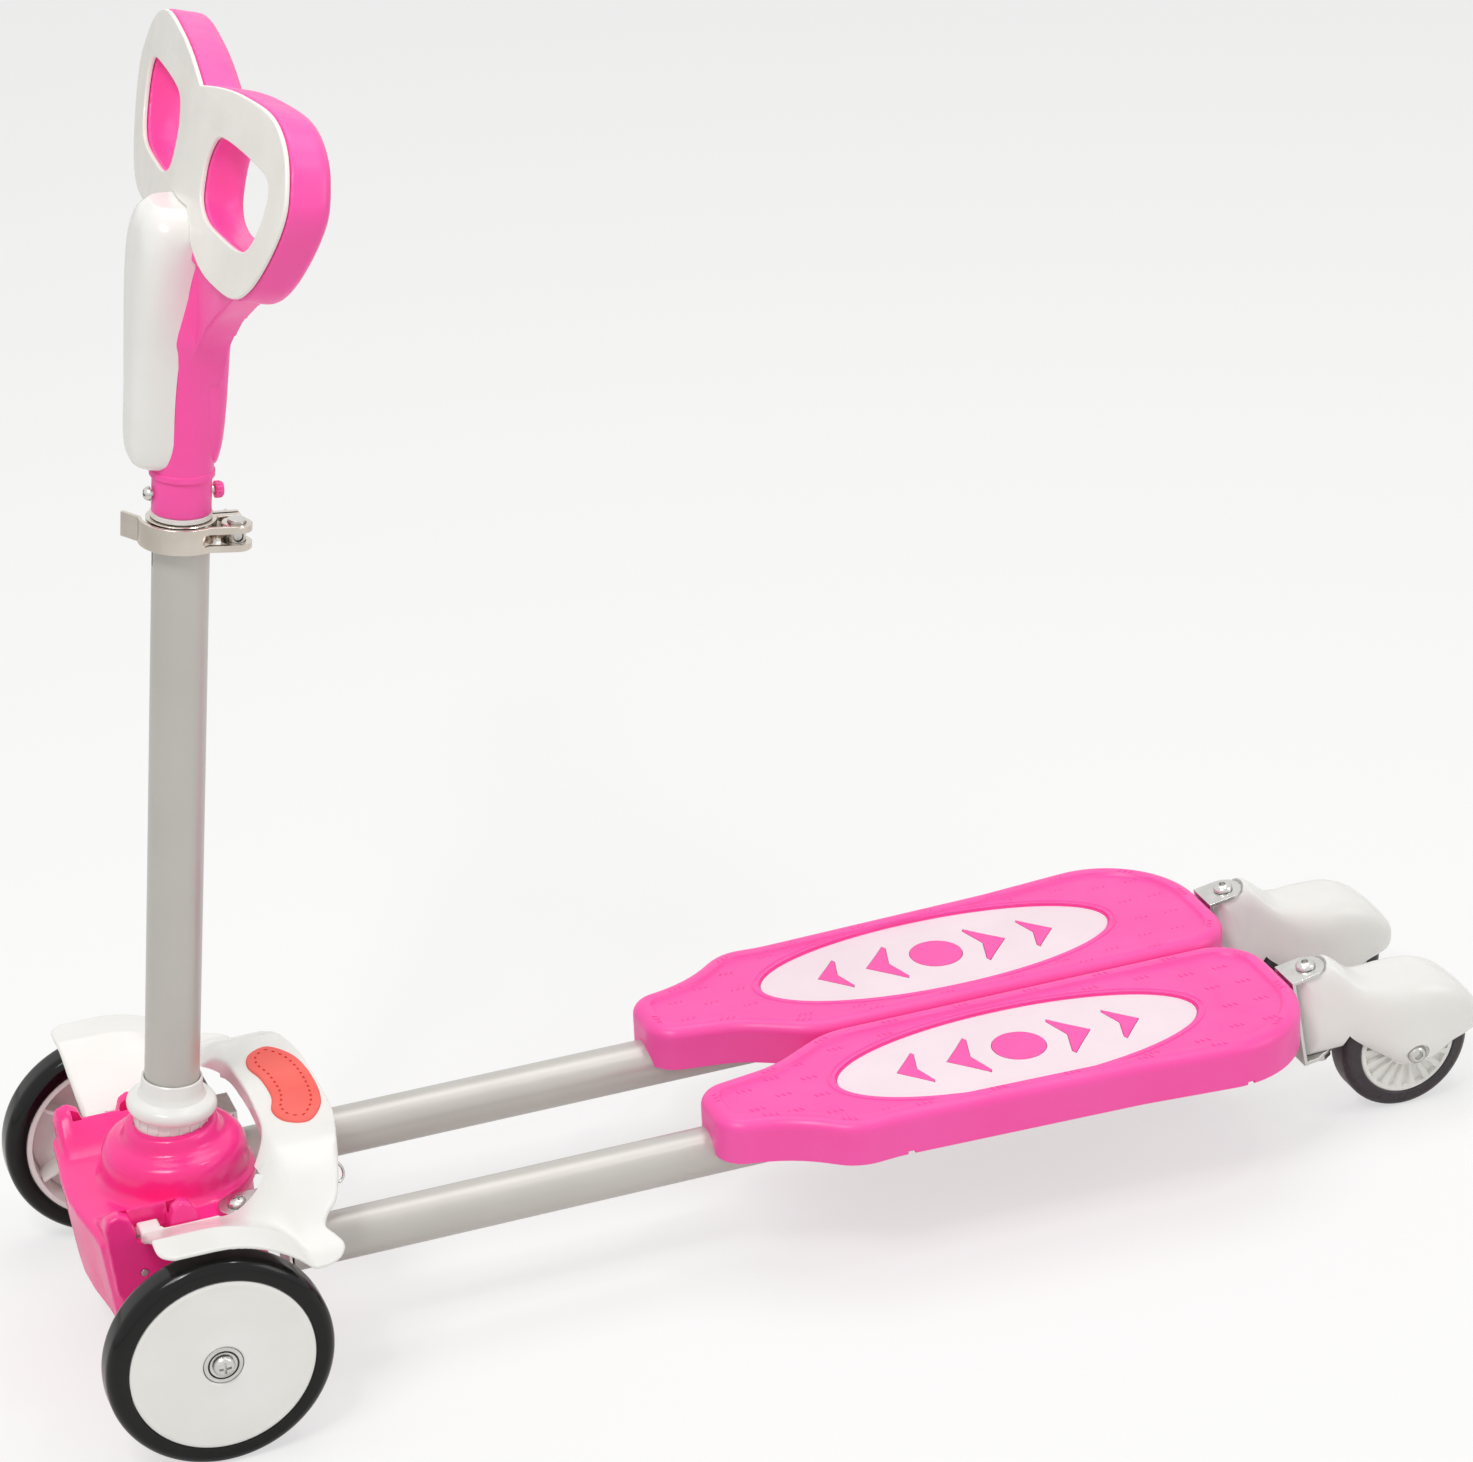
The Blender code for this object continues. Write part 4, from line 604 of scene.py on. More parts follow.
def tubes():
    bore = STEM_R - 0.0016
    rise = [
        (STEM_R, STEM_TOP - 0.0004), (STEM_R, STEM_LOW), (bore, STEM_LOW), (bore, STEM_TOP - 0.0004),
        (bore + 0.0004, STEM_TOP), (STEM_R - 0.0004, STEM_TOP)]
    stem = spun("stem_tube_finished", rise, 80, ring=True)
    carved(stem, block("slit", (-0.03, -0.0009, 0.2962), (0, 0.0009, STEM_TOP + 0.01)))
    fit(moved(stem, STEM), silver_paint, "base", "stem_tube")

    slide = spun("inner_tube_finished",
                 [(0.0125, 0.4248), (0.0125, 0.11), (0.0111, 0.11), (0.0111, 0.4248)], 64, ring=True)
    fit(moved(slide, STEM), zinc_plate, "handlebar", "inner_tube")

    plug, inside = 0.0197, STEM_R + 0.0003
    flange = [
        (inside, 0.0072), (STEM_R + 0.0009, 0.0077), (STEM_R + 0.0015, 0.007), (STEM_R + 0.002, 0.001),
        (STEM_R + 0.0025, -0.0014), (STEM_R + 0.0036, -0.0032), (0.0206, -0.0042), (0.0224, -0.005),
        (0.0235, -0.0064), (0.0239, -0.0084), (0.0236, -0.0104), (0.0227, -0.0119), (0.0212, -0.0128),
        (plug, -0.0132), (plug, -0.056), (inside, -0.056)]
    collar = spun("collar_finished", flange, 96, ring=True)
    for i in range(20):
        rib = block("rib", (plug - 0.001, -0.0006, -0.018), (plug + 0.0006, 0.0006, -0.0124))
        combined(collar, "UNION", moved(rib, turned(2 * pi * i / 20, "Z")))
    fit(moved(collar, STEM), white_pp, "base", "stem_collar")

    bush = spun("bush_finished", [(0.0155, 0.3248), (0.0155, 0.3225), (0.0128, 0.3225), (0.0128, 0.3248)],
                64, ring=True)
    fit(moved(bush, STEM), white_pp, "base", "stem_bush")

    leg_from, leg_to, radius = 0.024, 0.619, 0.0135
    wall = [(radius, leg_to), (radius, leg_from), (radius - 0.0018, leg_from), (radius - 0.0018, leg_to)]
    leg = spun("leg_tube_finished_left", wall, 72, ring=True)
    moved(leg, at(LEG_X, -LEG_Y, LEG_Z) @ turned(pi / 2, "Y"))
    fork = at(PIVOT_X, -LEG_Y, PIVOT_Z) @ turned(-LEAN, "Y")
    carved(leg, block("trim", (-0.0145, -0.03, -0.05), (0.03, 0.03, 0.05), fork))
    pair(moved(leg, AHEAD), silver_paint, "leg_%s", "leg_tube_%s")


# Pressed steel, bolts and nuts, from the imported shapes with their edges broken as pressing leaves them
def steelwork():
    for name, width, body in (("leg_clevis", 0.35, "leg_%s"), ("caster_fork", 0.35, "leg_%s"),
                              ("pedal_pin", 0.3, "base")):
        item = softened(copied(name + "_left", name + "_finished_left"), width, angle=40)
        pair(item, zinc_plate, body, name + "_%s")
    for name, x, z, half, lean, body in (("leg", LEG_X, 0.07425, 0.02655, 0.0, "base"),
                                         ("caster", PIVOT_X, PIVOT_Z, FORK_HALF, LEAN, "leg_%s")):
        here = AHEAD @ at(x, -LEG_Y, z) @ turned(-lean, "Y")
        top = half + 0.0025
        head = [
            (0.0008, top + 0.0034), (0.0026, top + 0.0033), (0.004, top + 0.0029), (0.0051, top + 0.002),
            (0.0057, top + 0.0008), (0.0057, top), (0.0038, top - 0.0001), (0.0038, -top - 0.0044),
            (0.0034, -top - 0.0048)]
        bolt = spun(name + "_bolt_finished_left", head, 48)
        if name == "leg":
            cross_recess(bolt, top + 0.0034, 0.0027, 0.0005, 0.0018)
        else:
            carved(bolt, post("socket", 0.0022, top + 0.0012, top + 0.006, 6))
        pair(moved(bolt, here), zinc_plate, body, name + "_%s_bolt")
        nut = softened(post(name + "_nut_finished_left", 0.0068, -top - 0.0042, -top, 6), 0.5)
        carved(nut, post("thread", BOLT_HOLE_R, -top - 0.01, 0, 32))
        pair(moved(nut, here), zinc_plate, body, name + "_%s_nut")


# Base housing: block, hinge cheeks, axle arms and stepped dome melted into one moulding, then cut
BASE_TOP, BASE_BOTTOM, BASE_HALF_Y, FRONT_SLOPE = 0.1005, 0.048, 0.063, 0.108
DOME_X, DOME_R = 0.0118, 0.04


def mirrored_loop(half):
    """A half outline from Y = 0 round to Y = 0, closed by its mirror image."""
    return half + [(x, -y) for x, y in half[-2:0:-1]]


def cheeks(sign):
    """Two raised humps at the end of the block, with the pedal's valley between them."""
    foot, level = 0.07, BASE_TOP - 0.0015
    profile = [
        (-0.0375, foot), (-0.0398, level), (-0.0406, 0.11), (-0.0385, 0.116), (-0.0325, 0.118),
        (-0.027, 0.115), (-0.0246, 0.107), (-0.0245, 0.1006), (-0.0065, 0.1006), (-0.0062, 0.107),
        (-0.004, 0.115), (0.001, 0.118), (0.0055, 0.1155), (0.0085, 0.109), (0.0105, level), (0.0108, foot)]
    fine = []
    for (x1, z1), (x2, z2) in zip(profile, profile[1:] + profile[:1]):
        fine += [(x1 + (x2 - x1) * t / 4, z1 + (z2 - z1) * t / 4) for t in range(4)]
    valley = [(0.0633, 0.93), (0.061, 1.0), (0.054, 0.92), (0.048, 0.66), (0.04, 0.22), (0.0345, 0.0)]
    filled = [(0.0517, 0.84), (0.047, 0.63), (0.042, 0.42), (0.035, 0.18), (0.027, 0.0)]
    humps = []
    for name, stations, floor in (("cheek", valley, 0.0), ("saddle", filled, 0.1172)):
        rings = []
        for y, rise in eased_curve(stations, 4, False):
            lifted = [(x, max(z, floor) if -0.03 < x < -0.001 and z > level else z) for x, z in fine]
            rings.append([(x, sign * y, level + (z - level) * max(rise, 0.0) if z > level else z)
                          for x, z in lifted])
        humps.append(skin(name, rings))
    return humps


def base_moulding():
    front = [(-0.0485, 0.0), (-0.0475, 0.018), (-0.0445, 0.04), (-0.0432, 0.057), (-0.039, BASE_HALF_Y)]
    side = [(0.013, BASE_HALF_Y), (0.021, 0.056)]
    plan = mirrored_loop(front + side + bow(DOME_R, 64, 12, 9, (DOME_X, 0)) + [(DOME_X + DOME_R, 0.0)])
    body = plate("base_moulding", [plan], BASE_BOTTOM, BASE_TOP, 2.5)
    for vert in body.data.vertices:  # the front leans in towards its foot
        if vert.co.x < HINGE_X:
            vert.co.x += (BASE_TOP - vert.co.z) * FRONT_SLOPE
    crown = [
        (0.0215, 0.132), (0.024, 0.1314), (0.0254, 0.129), (0.0266, 0.1256), (0.0285, 0.1236),
        (0.0325, 0.1222), (0.036, 0.12), (0.0382, 0.116), (0.039, 0.111), (0.0392, 0.106), (0.0402, 0.103),
        (0.042, 0.1012), (0.0424, 0.096)]
    dome = spun("dome", [(0.001, 0.132)] + eased_curve(crown, 3, False), 96)
    moved(dome, at(DOME_X, 0, 0))
    arm = [(0.004, 0.0), (0.0104, 0.0), (0.0111, -0.0004), (0.012, -0.002), (0.0165, -0.05)]
    solids = [body, dome]
    for sign in (-1, 1):
        solids += cheeks(sign)
        solids.append(post("barrel", 0.013, BASE_BOTTOM + 0.0003, BASE_TOP - 0.0003, 48,
                           at(LEG_X, sign * LEG_Y, 0)))
        solids.append(moved(spun("arm", arm, 64), at(0, sign * 0.107, FRONT_R)
                            @ turned(-sign * pi / 2, "X")))
    base = fused("base_moulding", solids, 0.9, 7)

    stem_here = AHEAD.inverted() @ STEM
    cuts = [post("bore", 0.02, -0.063, 0.01, 64, stem_here)]
    slot = [
        (-0.0305, 0.0725), (-0.013, 0.072), (-0.0065, 0.099), (-0.0065, 0.13), (-0.0245, 0.13),
        (-0.0245, 0.1), (-0.0305, 0.088)]
    for sign in (-1, 1):
        side_on = sided(sign)
        cuts.append(block("pocket", (-0.038, 0.0235, 0.043), (0.015, 0.048, BASE_TOP - 0.006), side_on))
        cuts.append(block("nook", (0.023, 0.002, 0.043), (0.04, 0.024, BASE_TOP - 0.012), side_on))
        for x in (-0.0315, -0.0055):
            cuts.append(block("lug_hole", (x, 0.05, 0.096), (x + 0.005, 0.056, 0.13), side_on))
        cuts.append(moved(plate("slot", [slot], -0.0602, -0.0523), side_on @ turned(pi / 2, "X")))
        cuts.append(post("bolt_hole", BOLT_HOLE_R, 0.03, 0.12, 32, at(LEG_X, sign * LEG_Y, 0)))
        across = turned(-sign * pi / 2, "X")
        cuts.append(post("axle_hole", 0.0042, 0.06, 0.117, 32, at(0, 0, FRONT_R) @ across))
        cuts.append(post("pin_hole", PIN_HOLE_R, 0.0475, 0.073, 24, at(HINGE_X, 0, HINGE_Z) @ across))
    carved(base, *map(tidy_faces, cuts), solver="MANIFOLD")
    fit(moved(base, AHEAD), deep_pink_pp, "base", "base_housing", angle=50)


# Foot brake: one white moulding arched over both wheels, with a rubber pad and its spring
FENDER_T, PEDAL_IN, PEDAL_OUT, PEDAL_TOP = 0.0022, 0.064, 0.1305, 0.137
FENDER_R = FRONT_R + 0.0066 + FENDER_T
SHELF_TOP, TAIL_TOP = 0.1055, 0.105


def rise_between(value, low, high):
    """A soft step from 0 to 1 between two values."""
    t = min(max((value - low) / (high - low), 0.0), 1.0)
    return t * t * (3 - 2 * t)


def brake_height(x, y):
    """The brake's upper face: an arch over each tyre, a shelf by the base, a bridge behind the stem."""
    arch = FRONT_R + (FENDER_R ** 2 - min(max(x, 0.0), FENDER_R) ** 2) ** 0.5
    fender = SHELF_TOP + (arch - SHELF_TOP) * max(min((y - PEDAL_IN) / 0.046, 1.0), 0.0)
    bridge = PEDAL_TOP - (PEDAL_TOP - TAIL_TOP) * rise_between(y, 0.05, 0.128)
    return fender + max(bridge - fender, 0.0) * rise_between(x, 0.02, 0.055)


def brake_moulding():
    middle = [
        (0.0, 0.0541, 0.0924, 0.012), (0.032, 0.0525, 0.0915, 0.012), (0.048, 0.048, 0.0888, 0.012),
        (0.057, 0.041, 0.0868, 0.01), (0.0638, 0.034, 0.0852, 0.0075)]
    wing = [
        (0.064, -0.0228, 0.0852, 0.007), (0.074, -0.0236, 0.0825, 0.0055), (0.084, -0.0243, 0.0792, 0.0045),
        (0.092, -0.0247, 0.0755, 0.004), (0.0985, -0.025, 0.069, 0.0036), (0.1045, -0.0253, 0.066, 0.0032),
        (0.11, -0.0258, 0.0692, 0.0026), (0.116, -0.0262, 0.072, FENDER_T),
        (0.122, -0.026, 0.0702, FENDER_T), (0.127, -0.024, 0.0658, FENDER_T),
        (0.1305, -0.019, 0.059, FENDER_T)]
    half = eased_curve(middle, 4, False) + eased_curve(wing, 4, False)
    stations = [(-row[0], *row[1:]) for row in half[:0:-1]] + half
    spans, rings = 44, []
    for y, front, rear, thick in stations:
        soft = min(thick * 0.3, (rear - front) / spans * 0.8)
        xs = [front + soft] + [front + (rear - front) * i / spans for i in range(1, spans)] + [rear - soft]
        upper = [(x, y, brake_height(x, abs(y))) for x in xs]
        first, last = brake_height(front, abs(y)), brake_height(rear, abs(y))
        lower = [(x, y, z - thick) for x, y, z in reversed(upper)]
        rings.append(upper + [(rear, y, last - soft), (rear, y, last - thick + soft)] + lower
                     + [(front, y, first - thick + soft), (front, y, first - soft)])
    sheet = skin("brake_moulding", rings)
    tongue = [
        (-0.0285, 0.0765), (-0.017, 0.0755), (-0.011, 0.1), (-0.011, 0.105), (-0.0227, 0.105),
        (-0.0285, 0.086)]
    solids = [sheet]
    for sign in (-1, 1):
        shelf = block("shelf", (-0.0224, 0.0538, 0.1022), (-0.0112, PEDAL_IN + 0.003, 0.1068), sided(sign))
        hinge = moved(plate("tongue", [tongue], -0.059, -0.0535), sided(sign) @ turned(pi / 2, "X"))
        solids += [tidy_faces(shelf), tidy_faces(hinge)]
    brake = fused("brake_moulding", solids, 0.85, 3)
    cuts = []
    for sign in (-1, 1):
        cuts.append(post("bolt_room", 0.0185, 0.08, 0.1262, 72, at(0.0335, sign * 0.0535, 0)))
        across = at(HINGE_X, 0, HINGE_Z) @ turned(-sign * pi / 2, "X")
        cuts.append(post("pin_hole", PIN_HOLE_R, 0.0435, 0.06, 24, across))
    cuts.append(plate("pad_well", [eased_curve(PAD_BEAN, 6)], PEDAL_TOP - 0.0015, PEDAL_TOP + 0.01))
    carved(brake, *map(tidy_faces, cuts), solver="MANIFOLD")
    fit(moved(brake, AHEAD), white_pp, "brake_pedal", "brake_pedal", angle=50)


PAD_X = 0.076
PAD_BEAN = [(PAD_X + dx, y) for dx, y in (
    (0.0, 0.0425), (-0.0115, 0.0375), (-0.0152, 0.025), (-0.012, 0.01), (-0.0115, -0.01),
    (-0.0152, -0.025), (-0.0115, -0.0375), (0.0, -0.0425), (0.01, -0.03), (0.014, -0.012),
    (0.014, 0.012), (0.01, 0.03))]


def inward(points, amount):
    """An outline moved in by an amount, square to its own run."""
    amount = amount if anticlockwise(points) else -amount
    moved_in = []
    for i, here in enumerate(points):
        before, after = points[i - 1], points[(i + 1) % len(points)]
        one = Vector((before[1] - here[1], here[0] - before[0])).normalized()
        two = Vector((here[1] - after[1], after[0] - here[0])).normalized()
        reach = (one + two) * (amount / max(1 + one.dot(two), 0.3))
        moved_in.append((here[0] + reach.x, here[1] + reach.y))
    return moved_in


def along_loop(points, count):
    """A number of evenly spaced places round a closed outline, each with its heading."""
    spots, carried = [], 0.0
    sides = list(zip(points, points[1:] + points[:1]))
    pitch = sum((Vector(b) - Vector(a)).length for a, b in sides) / (count - 0.001)
    for a, b in sides:
        run = Vector(b) - Vector(a)
        while carried < run.length:
            spot = Vector(a) + run * (carried / run.length)
            spots.append((spot.x, spot.y, run.angle_signed(Vector((1, 0)))))
            carried += pitch
        carried -= run.length
    return spots


def rubber_pad():
    """A low crowned bean whose edge is rounded and whose face carries a closed row of dashes."""
    top, foot = PEDAL_TOP + 0.0014, PEDAL_TOP - 0.0012
    outline = eased_curve(PAD_BEAN, 8)
    steps = [
        (foot, 0.0001), (top - 0.0012, 0.0001), (top - 0.0006, 0.0003), (top - 0.0002, 0.0008),
        (top, 0.0016), (top + 0.0002, 0.005)]
    pad = skin("pad_moulding", [[(x, y, z) for x, y in inward(outline, inset)] for z, inset in steps])
    dashes = [block("dash", (-0.0011, -0.0006, top - 0.0009), (0.0011, 0.0006, top + 0.002),
                    at(x, y, 0) @ turned(heading, "Z"))
              for x, y, heading in along_loop(inward(outline, 0.0052), 33)]
    carved(pad, tidy_faces(joined("dashes", dashes)))
    fit(moved(pad, AHEAD), pad_rubber, "brake_pedal", "pedal_pad")


def spring_ends():
    """The two wire tails of the return spring that show behind the bridge."""
    for number, sign in enumerate((-1, 1)):
        line = [(x, sign * y, z) for x, y, z in (
            (0.078, 0.036, 0.118), (0.0905, 0.036, 0.105), (0.0935, 0.037, 0.0985),
            (0.0915, 0.039, 0.095), (0.088, 0.04, 0.0965), (0.079, 0.04, 0.109))]
        start()
        bpy.ops.curve.primitive_bezier_curve_add(location=(0, 0, 0))
        wire = named("spring_end_%d" % number)
        wire.data.splines.clear()
        spline = wire.data.splines.new("POLY")
        path = eased_curve(line, 6, closed=False)
        spline.points.add(len(path) - 1)
        for point, spot in zip(spline.points, path):
            point.co = (*spot, 1)
        wire.data.bevel_depth = 0.0008
        wire.data.bevel_resolution = 3
        wire.data.use_fill_caps = True
        bpy.ops.object.convert(target="MESH")
        wire = tidy_faces(named("spring_end_%d" % number))
        fit(moved(wire, AHEAD), zinc_plate, "brake_pedal", angle=50)


# Clamp: nickel band with ears and a slit, and the strip lever wrapped round the tube from its cam
CLAMP_LOW, CLAMP_HIGH = 0.3082, 0.3219


def clamp():
    mid, cam_x, cam_y = (CLAMP_LOW + CLAMP_HIGH) / 2, 0.025, -0.013
    inner, outer, edge = STEM_R + 0.0003, STEM_R + 0.0032, 0.0004
    wall = [
        (outer - edge, CLAMP_HIGH), (outer, CLAMP_HIGH - edge), (outer, CLAMP_LOW + edge),
        (outer - edge, CLAMP_LOW), (inner, CLAMP_LOW), (inner, CLAMP_HIGH)]
    band = spun("clamp_band_finished", wall, 72, ring=True)
    ears = block("ears", (STEM_R + 0.001, -0.0044, CLAMP_LOW), (0.03, 0.0044, CLAMP_HIGH))
    combined(band, "UNION", softened(ears, 0.8))
    across = at(cam_x, 0, mid) @ turned(pi / 2, "X")
    carved(band, block("slit", (0.01, -0.0008, CLAMP_LOW - 0.01), (0.04, 0.0008, CLAMP_HIGH + 0.01)),
           post("hole", 0.0027, -0.02, 0.02, 24, across))
    fit(moved(band, STEM), nickel_plate, "base", "clamp_band")

    line = [(0.024, -0.0198)] + bow(0.0208, -62, -190, 33)
    line += [(-0.0222, 0.006), (-0.0238, 0.0085), (-0.027, 0.013)]
    sides = ([], [])
    for i, point in enumerate(line):
        before, after = line[max(i - 1, 0)], line[min(i + 1, len(line) - 1)]
        along = Vector((after[0] - before[0], after[1] - before[1])).normalized()
        for side, reach in zip(sides, (0.001, -0.001)):
            side.append((point[0] - along.y * reach, point[1] + along.x * reach))
    low, high, cam = CLAMP_LOW + 0.0002, CLAMP_HIGH - 0.0002, at(cam_x, cam_y, 0)
    lever = plate("clamp_lever_finished", [sides[0] + sides[1][::-1]], low, high, 0.4)
    head = spun("cam_head", [(0.0074, high), (0.0078, high - edge), (0.0078, low + edge), (0.0074, low)],
                48)
    combined(lever, "UNION", moved(head, cam))
    carved(lever, post("bore", 0.0049, CLAMP_LOW - 0.01, CLAMP_HIGH + 0.01, 32, cam),
           block("window", (0.006, -0.033, mid - 0.003), (0.037, -0.001, mid + 0.003)))
    fit(moved(lever, STEM), nickel_plate, "clamp_lever", "clamp_lever")
    for name in ("cam_pin", "clamp_bolt", "clamp_nut"):
        fit(softened(copied(name, name + "_finished"), 0.3, angle=40), zinc_plate, "base", name)


# Handle: two loops swept and tilted back, a white face, and a covered neck
GRIP_S, GRIP_T, FACE_T, SCREW_S = 0.5, 0.024, 0.0024, 0.3347
GRIP_TILT, GRIP_SWEEP = radians(10), 0.06
TILT = at(-0.0017, 0, GRIP_S) @ turned(GRIP_TILT, "Y")
UPRIGHT = Matrix(((0, 0, -1, 0), (1, 0, 0, 0), (0, 1, 0, 0), (0, 0, 0, 1)))


def on_grip(points):
    """Points given by Y and by height along the stem, laid out on the tilted grip."""
    return [(y, (s - GRIP_S) / cos(GRIP_TILT)) for y, s in points]


def both_sides(half):
    """A half outline from Y = 0 to Y = 0 of the upright handle, closed by its mirror image."""
    return half + [(-y, s) for y, s in half[-2:0:-1]]


def wings(face):
    """Both wings of the handle as one outline, and their two holes."""
    step = 0.0 if face else 0.0006
    half = [
        (0.0, 0.5415 + step), (0.03, 0.5483 + step), (0.06, 0.5525 + step), (0.098, 0.554 + step),
        (0.1225 + step, 0.545), (0.135 + step, 0.528), (0.1362 + step, 0.514), (0.127 + step, 0.4945),
        (0.112, 0.476 - step), (0.094, 0.4658 - step), (0.066, 0.4635 - step)]
    half += ([(0.047, 0.4648), (0.032, 0.4695), (0.016, 0.4778), (0.0, 0.4815)] if face
             else [(0.04, 0.4628), (0.0, 0.4628)])
    half = on_grip(eased_curve(half, 6, closed=False))
    hole = eased_curve([(0.0278, 0.5155), (0.035, 0.525), (0.048, 0.5283), (0.078, 0.5292), (0.106, 0.528),
                        (0.114, 0.5215), (0.1115, 0.507), (0.103, 0.4935), (0.09, 0.4878), (0.062, 0.4866),
                        (0.042, 0.4876), (0.03, 0.4935), (0.0266, 0.505)], 6)
    hole = on_grip(hole)
    return [both_sides(half), hole, [(-y, s) for y, s in hole]]


def swept(item, tilted=True):
    """Stand a flat plate up and sweep both its halves back from the middle."""
    edited(moved(item, UPRIGHT), (bpy.ops.mesh.bisect, {"plane_co": (0, 0, 0), "plane_no": (0, 1, 0)}))
    for vert in item.data.vertices:
        vert.co.x += abs(vert.co.y) * GRIP_SWEEP
    if tilted:
        item.data.transform(TILT)
    return tidy_faces(item)


FRONT_COVER = [
    (0.3494, 0.008, 0.008, 0.02), (0.351, 0.01, 0.008, 0.024), (0.354, 0.012, 0.008, 0.0266),
    (0.364, 0.014, 0.008, 0.0288), (0.3896, 0.0158, 0.0078, 0.0286), (0.4155, 0.0192, 0.0065, 0.0284),
    (0.4453, 0.024, 0.004, 0.0278), (0.4653, 0.0262, 0.0005, 0.0262), (0.478, 0.023, 0.0005, 0.0225),
    (0.485, 0.013, 0.0005, 0.017)]
REAR_COVER = [
    (0.3502, 0.007, 0.006, 0.017), (0.354, 0.0105, 0.006, 0.018), (0.364, 0.013, 0.006, 0.0198),
    (0.3814, 0.0145, 0.006, 0.0211), (0.4142, 0.0165, 0.006, 0.0224), (0.455, 0.019, 0.006, 0.0248),
    (0.485, 0.018, 0.006, 0.0268), (0.502, 0.012, 0.006, 0.0262), (0.508, 0.007, 0.006, 0.0246)]


def swollen(value, power):
    """A sine or cosine raised to a power below 1, sign kept, which makes a round section fuller."""
    return abs(value) ** power * (1 if value > 0 else -1)


def cover(name, rows, direction, fullness, grow=0.0, steps=4):
    """A long dome: at each height half a rounded box stands off a flat rim."""
    rings = []
    for s, half, rim, crest in eased_curve(rows, steps, closed=False):
        ring = []
        for i in range(49):
            a = pi * i / 48
            low = rim - grow * 8
            ring.append((direction * (low + (crest - low) * swollen(sin(a), fullness)),
                         (half + grow) * swollen(cos(a), fullness), s))
        rings.append(ring)
    return skin(name, rings)


def neck(name):
    """The sleeve round the inner tube, widening into the web."""
    rows = [
        (0.3445, 0.016, 0.0158, 0.016), (0.3484, 0.0159, 0.0155, 0.0157), (0.37, 0.0169, 0.015, 0.0165),
        (0.395, 0.0184, 0.0148, 0.0172), (0.412, 0.0219, 0.0146, 0.0178), (0.424, 0.0249, 0.0144, 0.0182),
        (0.47, 0.0285, 0.001, 0.0197), (0.48, 0.023, 0.0002, 0.02)]
    rings = []
    for s, width, front, back in eased_curve(rows, 4, closed=False):
        turns = [2 * pi * i / 64 for i in range(64)]
        rings.append([((back if cos(a) > 0 else front) * cos(a), width * sin(a), s) for a in turns])
    return skin(name, rings)


def handle():
    grip = swept(plate("grip", wings(False), -GRIP_T, GRIP_T * 0.25, 7.2, 6))
    flat = swept(plate("grip_front", wings(False), -GRIP_T * 0.55, -FACE_T - 0.0003, 0.5, 2))
    keep = plate("keep", [[(-0.2, -0.1), (0.2, -0.1), (0.2, 0.1), (-0.2, 0.1)]], -0.06, -FACE_T - 0.0004)
    combined(grip, "INTERSECT", swept(keep))
    web_half = [
        (0.0, 0.382), (0.0145, 0.393), (0.0225, 0.412), (0.033, 0.425), (0.048, 0.4385), (0.065, 0.45),
        (0.083, 0.462)]
    web_half = eased_curve(web_half, 4, closed=False) + [(0.078, 0.474), (0.0, 0.474)]
    web = swept(plate("web", [both_sides(web_half)], -0.015, 0.0026), tilted=False)
    body = fused("handle_moulding", [grip, flat, web, neck("neck")], 1.0, 4)
    sleeve = [
        (0.0128, 0.3251), (0.0146, 0.3251), (0.015, 0.3255), (0.015, 0.3436), (0.0161, 0.344),
        (0.0164, 0.3443), (0.0164, 0.347), (0.016, 0.3475), (0.014, 0.348), (0.0128, 0.348)]
    body = joined("handle_moulding", [body, spun("sleeve", sleeve, 80, ring=True)])
    fit(moved(body, STEM), hot_pink_pp, "handlebar", "handle_body", angle=50)

    face = swept(plate("handle_face_finished", wings(True), -FACE_T, 0.0, 0.9, 3))
    notch_rows = eased_curve(FRONT_COVER[-4:], 4, closed=False) + [(0.4856, 0.014, 0.0005, 0.0175)]
    carved(face, cover("notch", notch_rows, -1, 0.55, 0.0005, 1))
    fit(moved(face, STEM), face_pp, "handlebar", "handle_face")
    for name, rows, way, full, finish in (("front_cover", FRONT_COVER, -1, 0.55, white_pp),
                                          ("rear_cover", REAR_COVER, 1, 0.8, hot_pink_pp)):
        shell = cover(name + "_finished", rows, way, full)
        fit(moved(shell, STEM), finish, "handlebar", name, angle=50)

    head = [
        (0.0006, 0.0195), (0.0016, 0.0194), (0.0026, 0.0189), (0.0034, 0.0179), (0.0038, 0.0168),
        (0.0038, 0.0162), (0.002, 0.0161), (0.002, -0.017)]
    screw = cross_recess(spun("handle_screw_finished", head, 40), 0.0195, 0.0022, 0.0004, 0.0014)
    turn = at(0, 0, SCREW_S) @ turned(-pi / 2, "Y")
    fit(moved(screw, STEM @ turn), zinc_plate, "handlebar", "handle_screw")
    rows, ribs, rib_height = [], 12, 0.0002
    for radius, height, wave in (
            (0.0024, 0.021, 0), (0.0032, 0.021, 0), (0.0038, 0.0205, 0.3), (0.0042, 0.0194, 1),
            (0.0042, 0.0168, 1), (0.004, 0.0166, 0.5), (0.0024, 0.0166, 0)):
        ring = [(radius + rib_height * wave * cos(ribs * a), a)
                for a in (2 * pi * i / 96 for i in range(96))]
        rows.append([(reach * cos(a), reach * sin(a), height) for reach, a in ring])
    knob = skin("handle_knob_finished", rows + rows[:1], caps=False)
    turn = at(0, 0, SCREW_S) @ turned(pi / 2, "Y")
    fit(moved(knob, STEM @ turn), hot_pink_pp, "handlebar", "handle_knob")


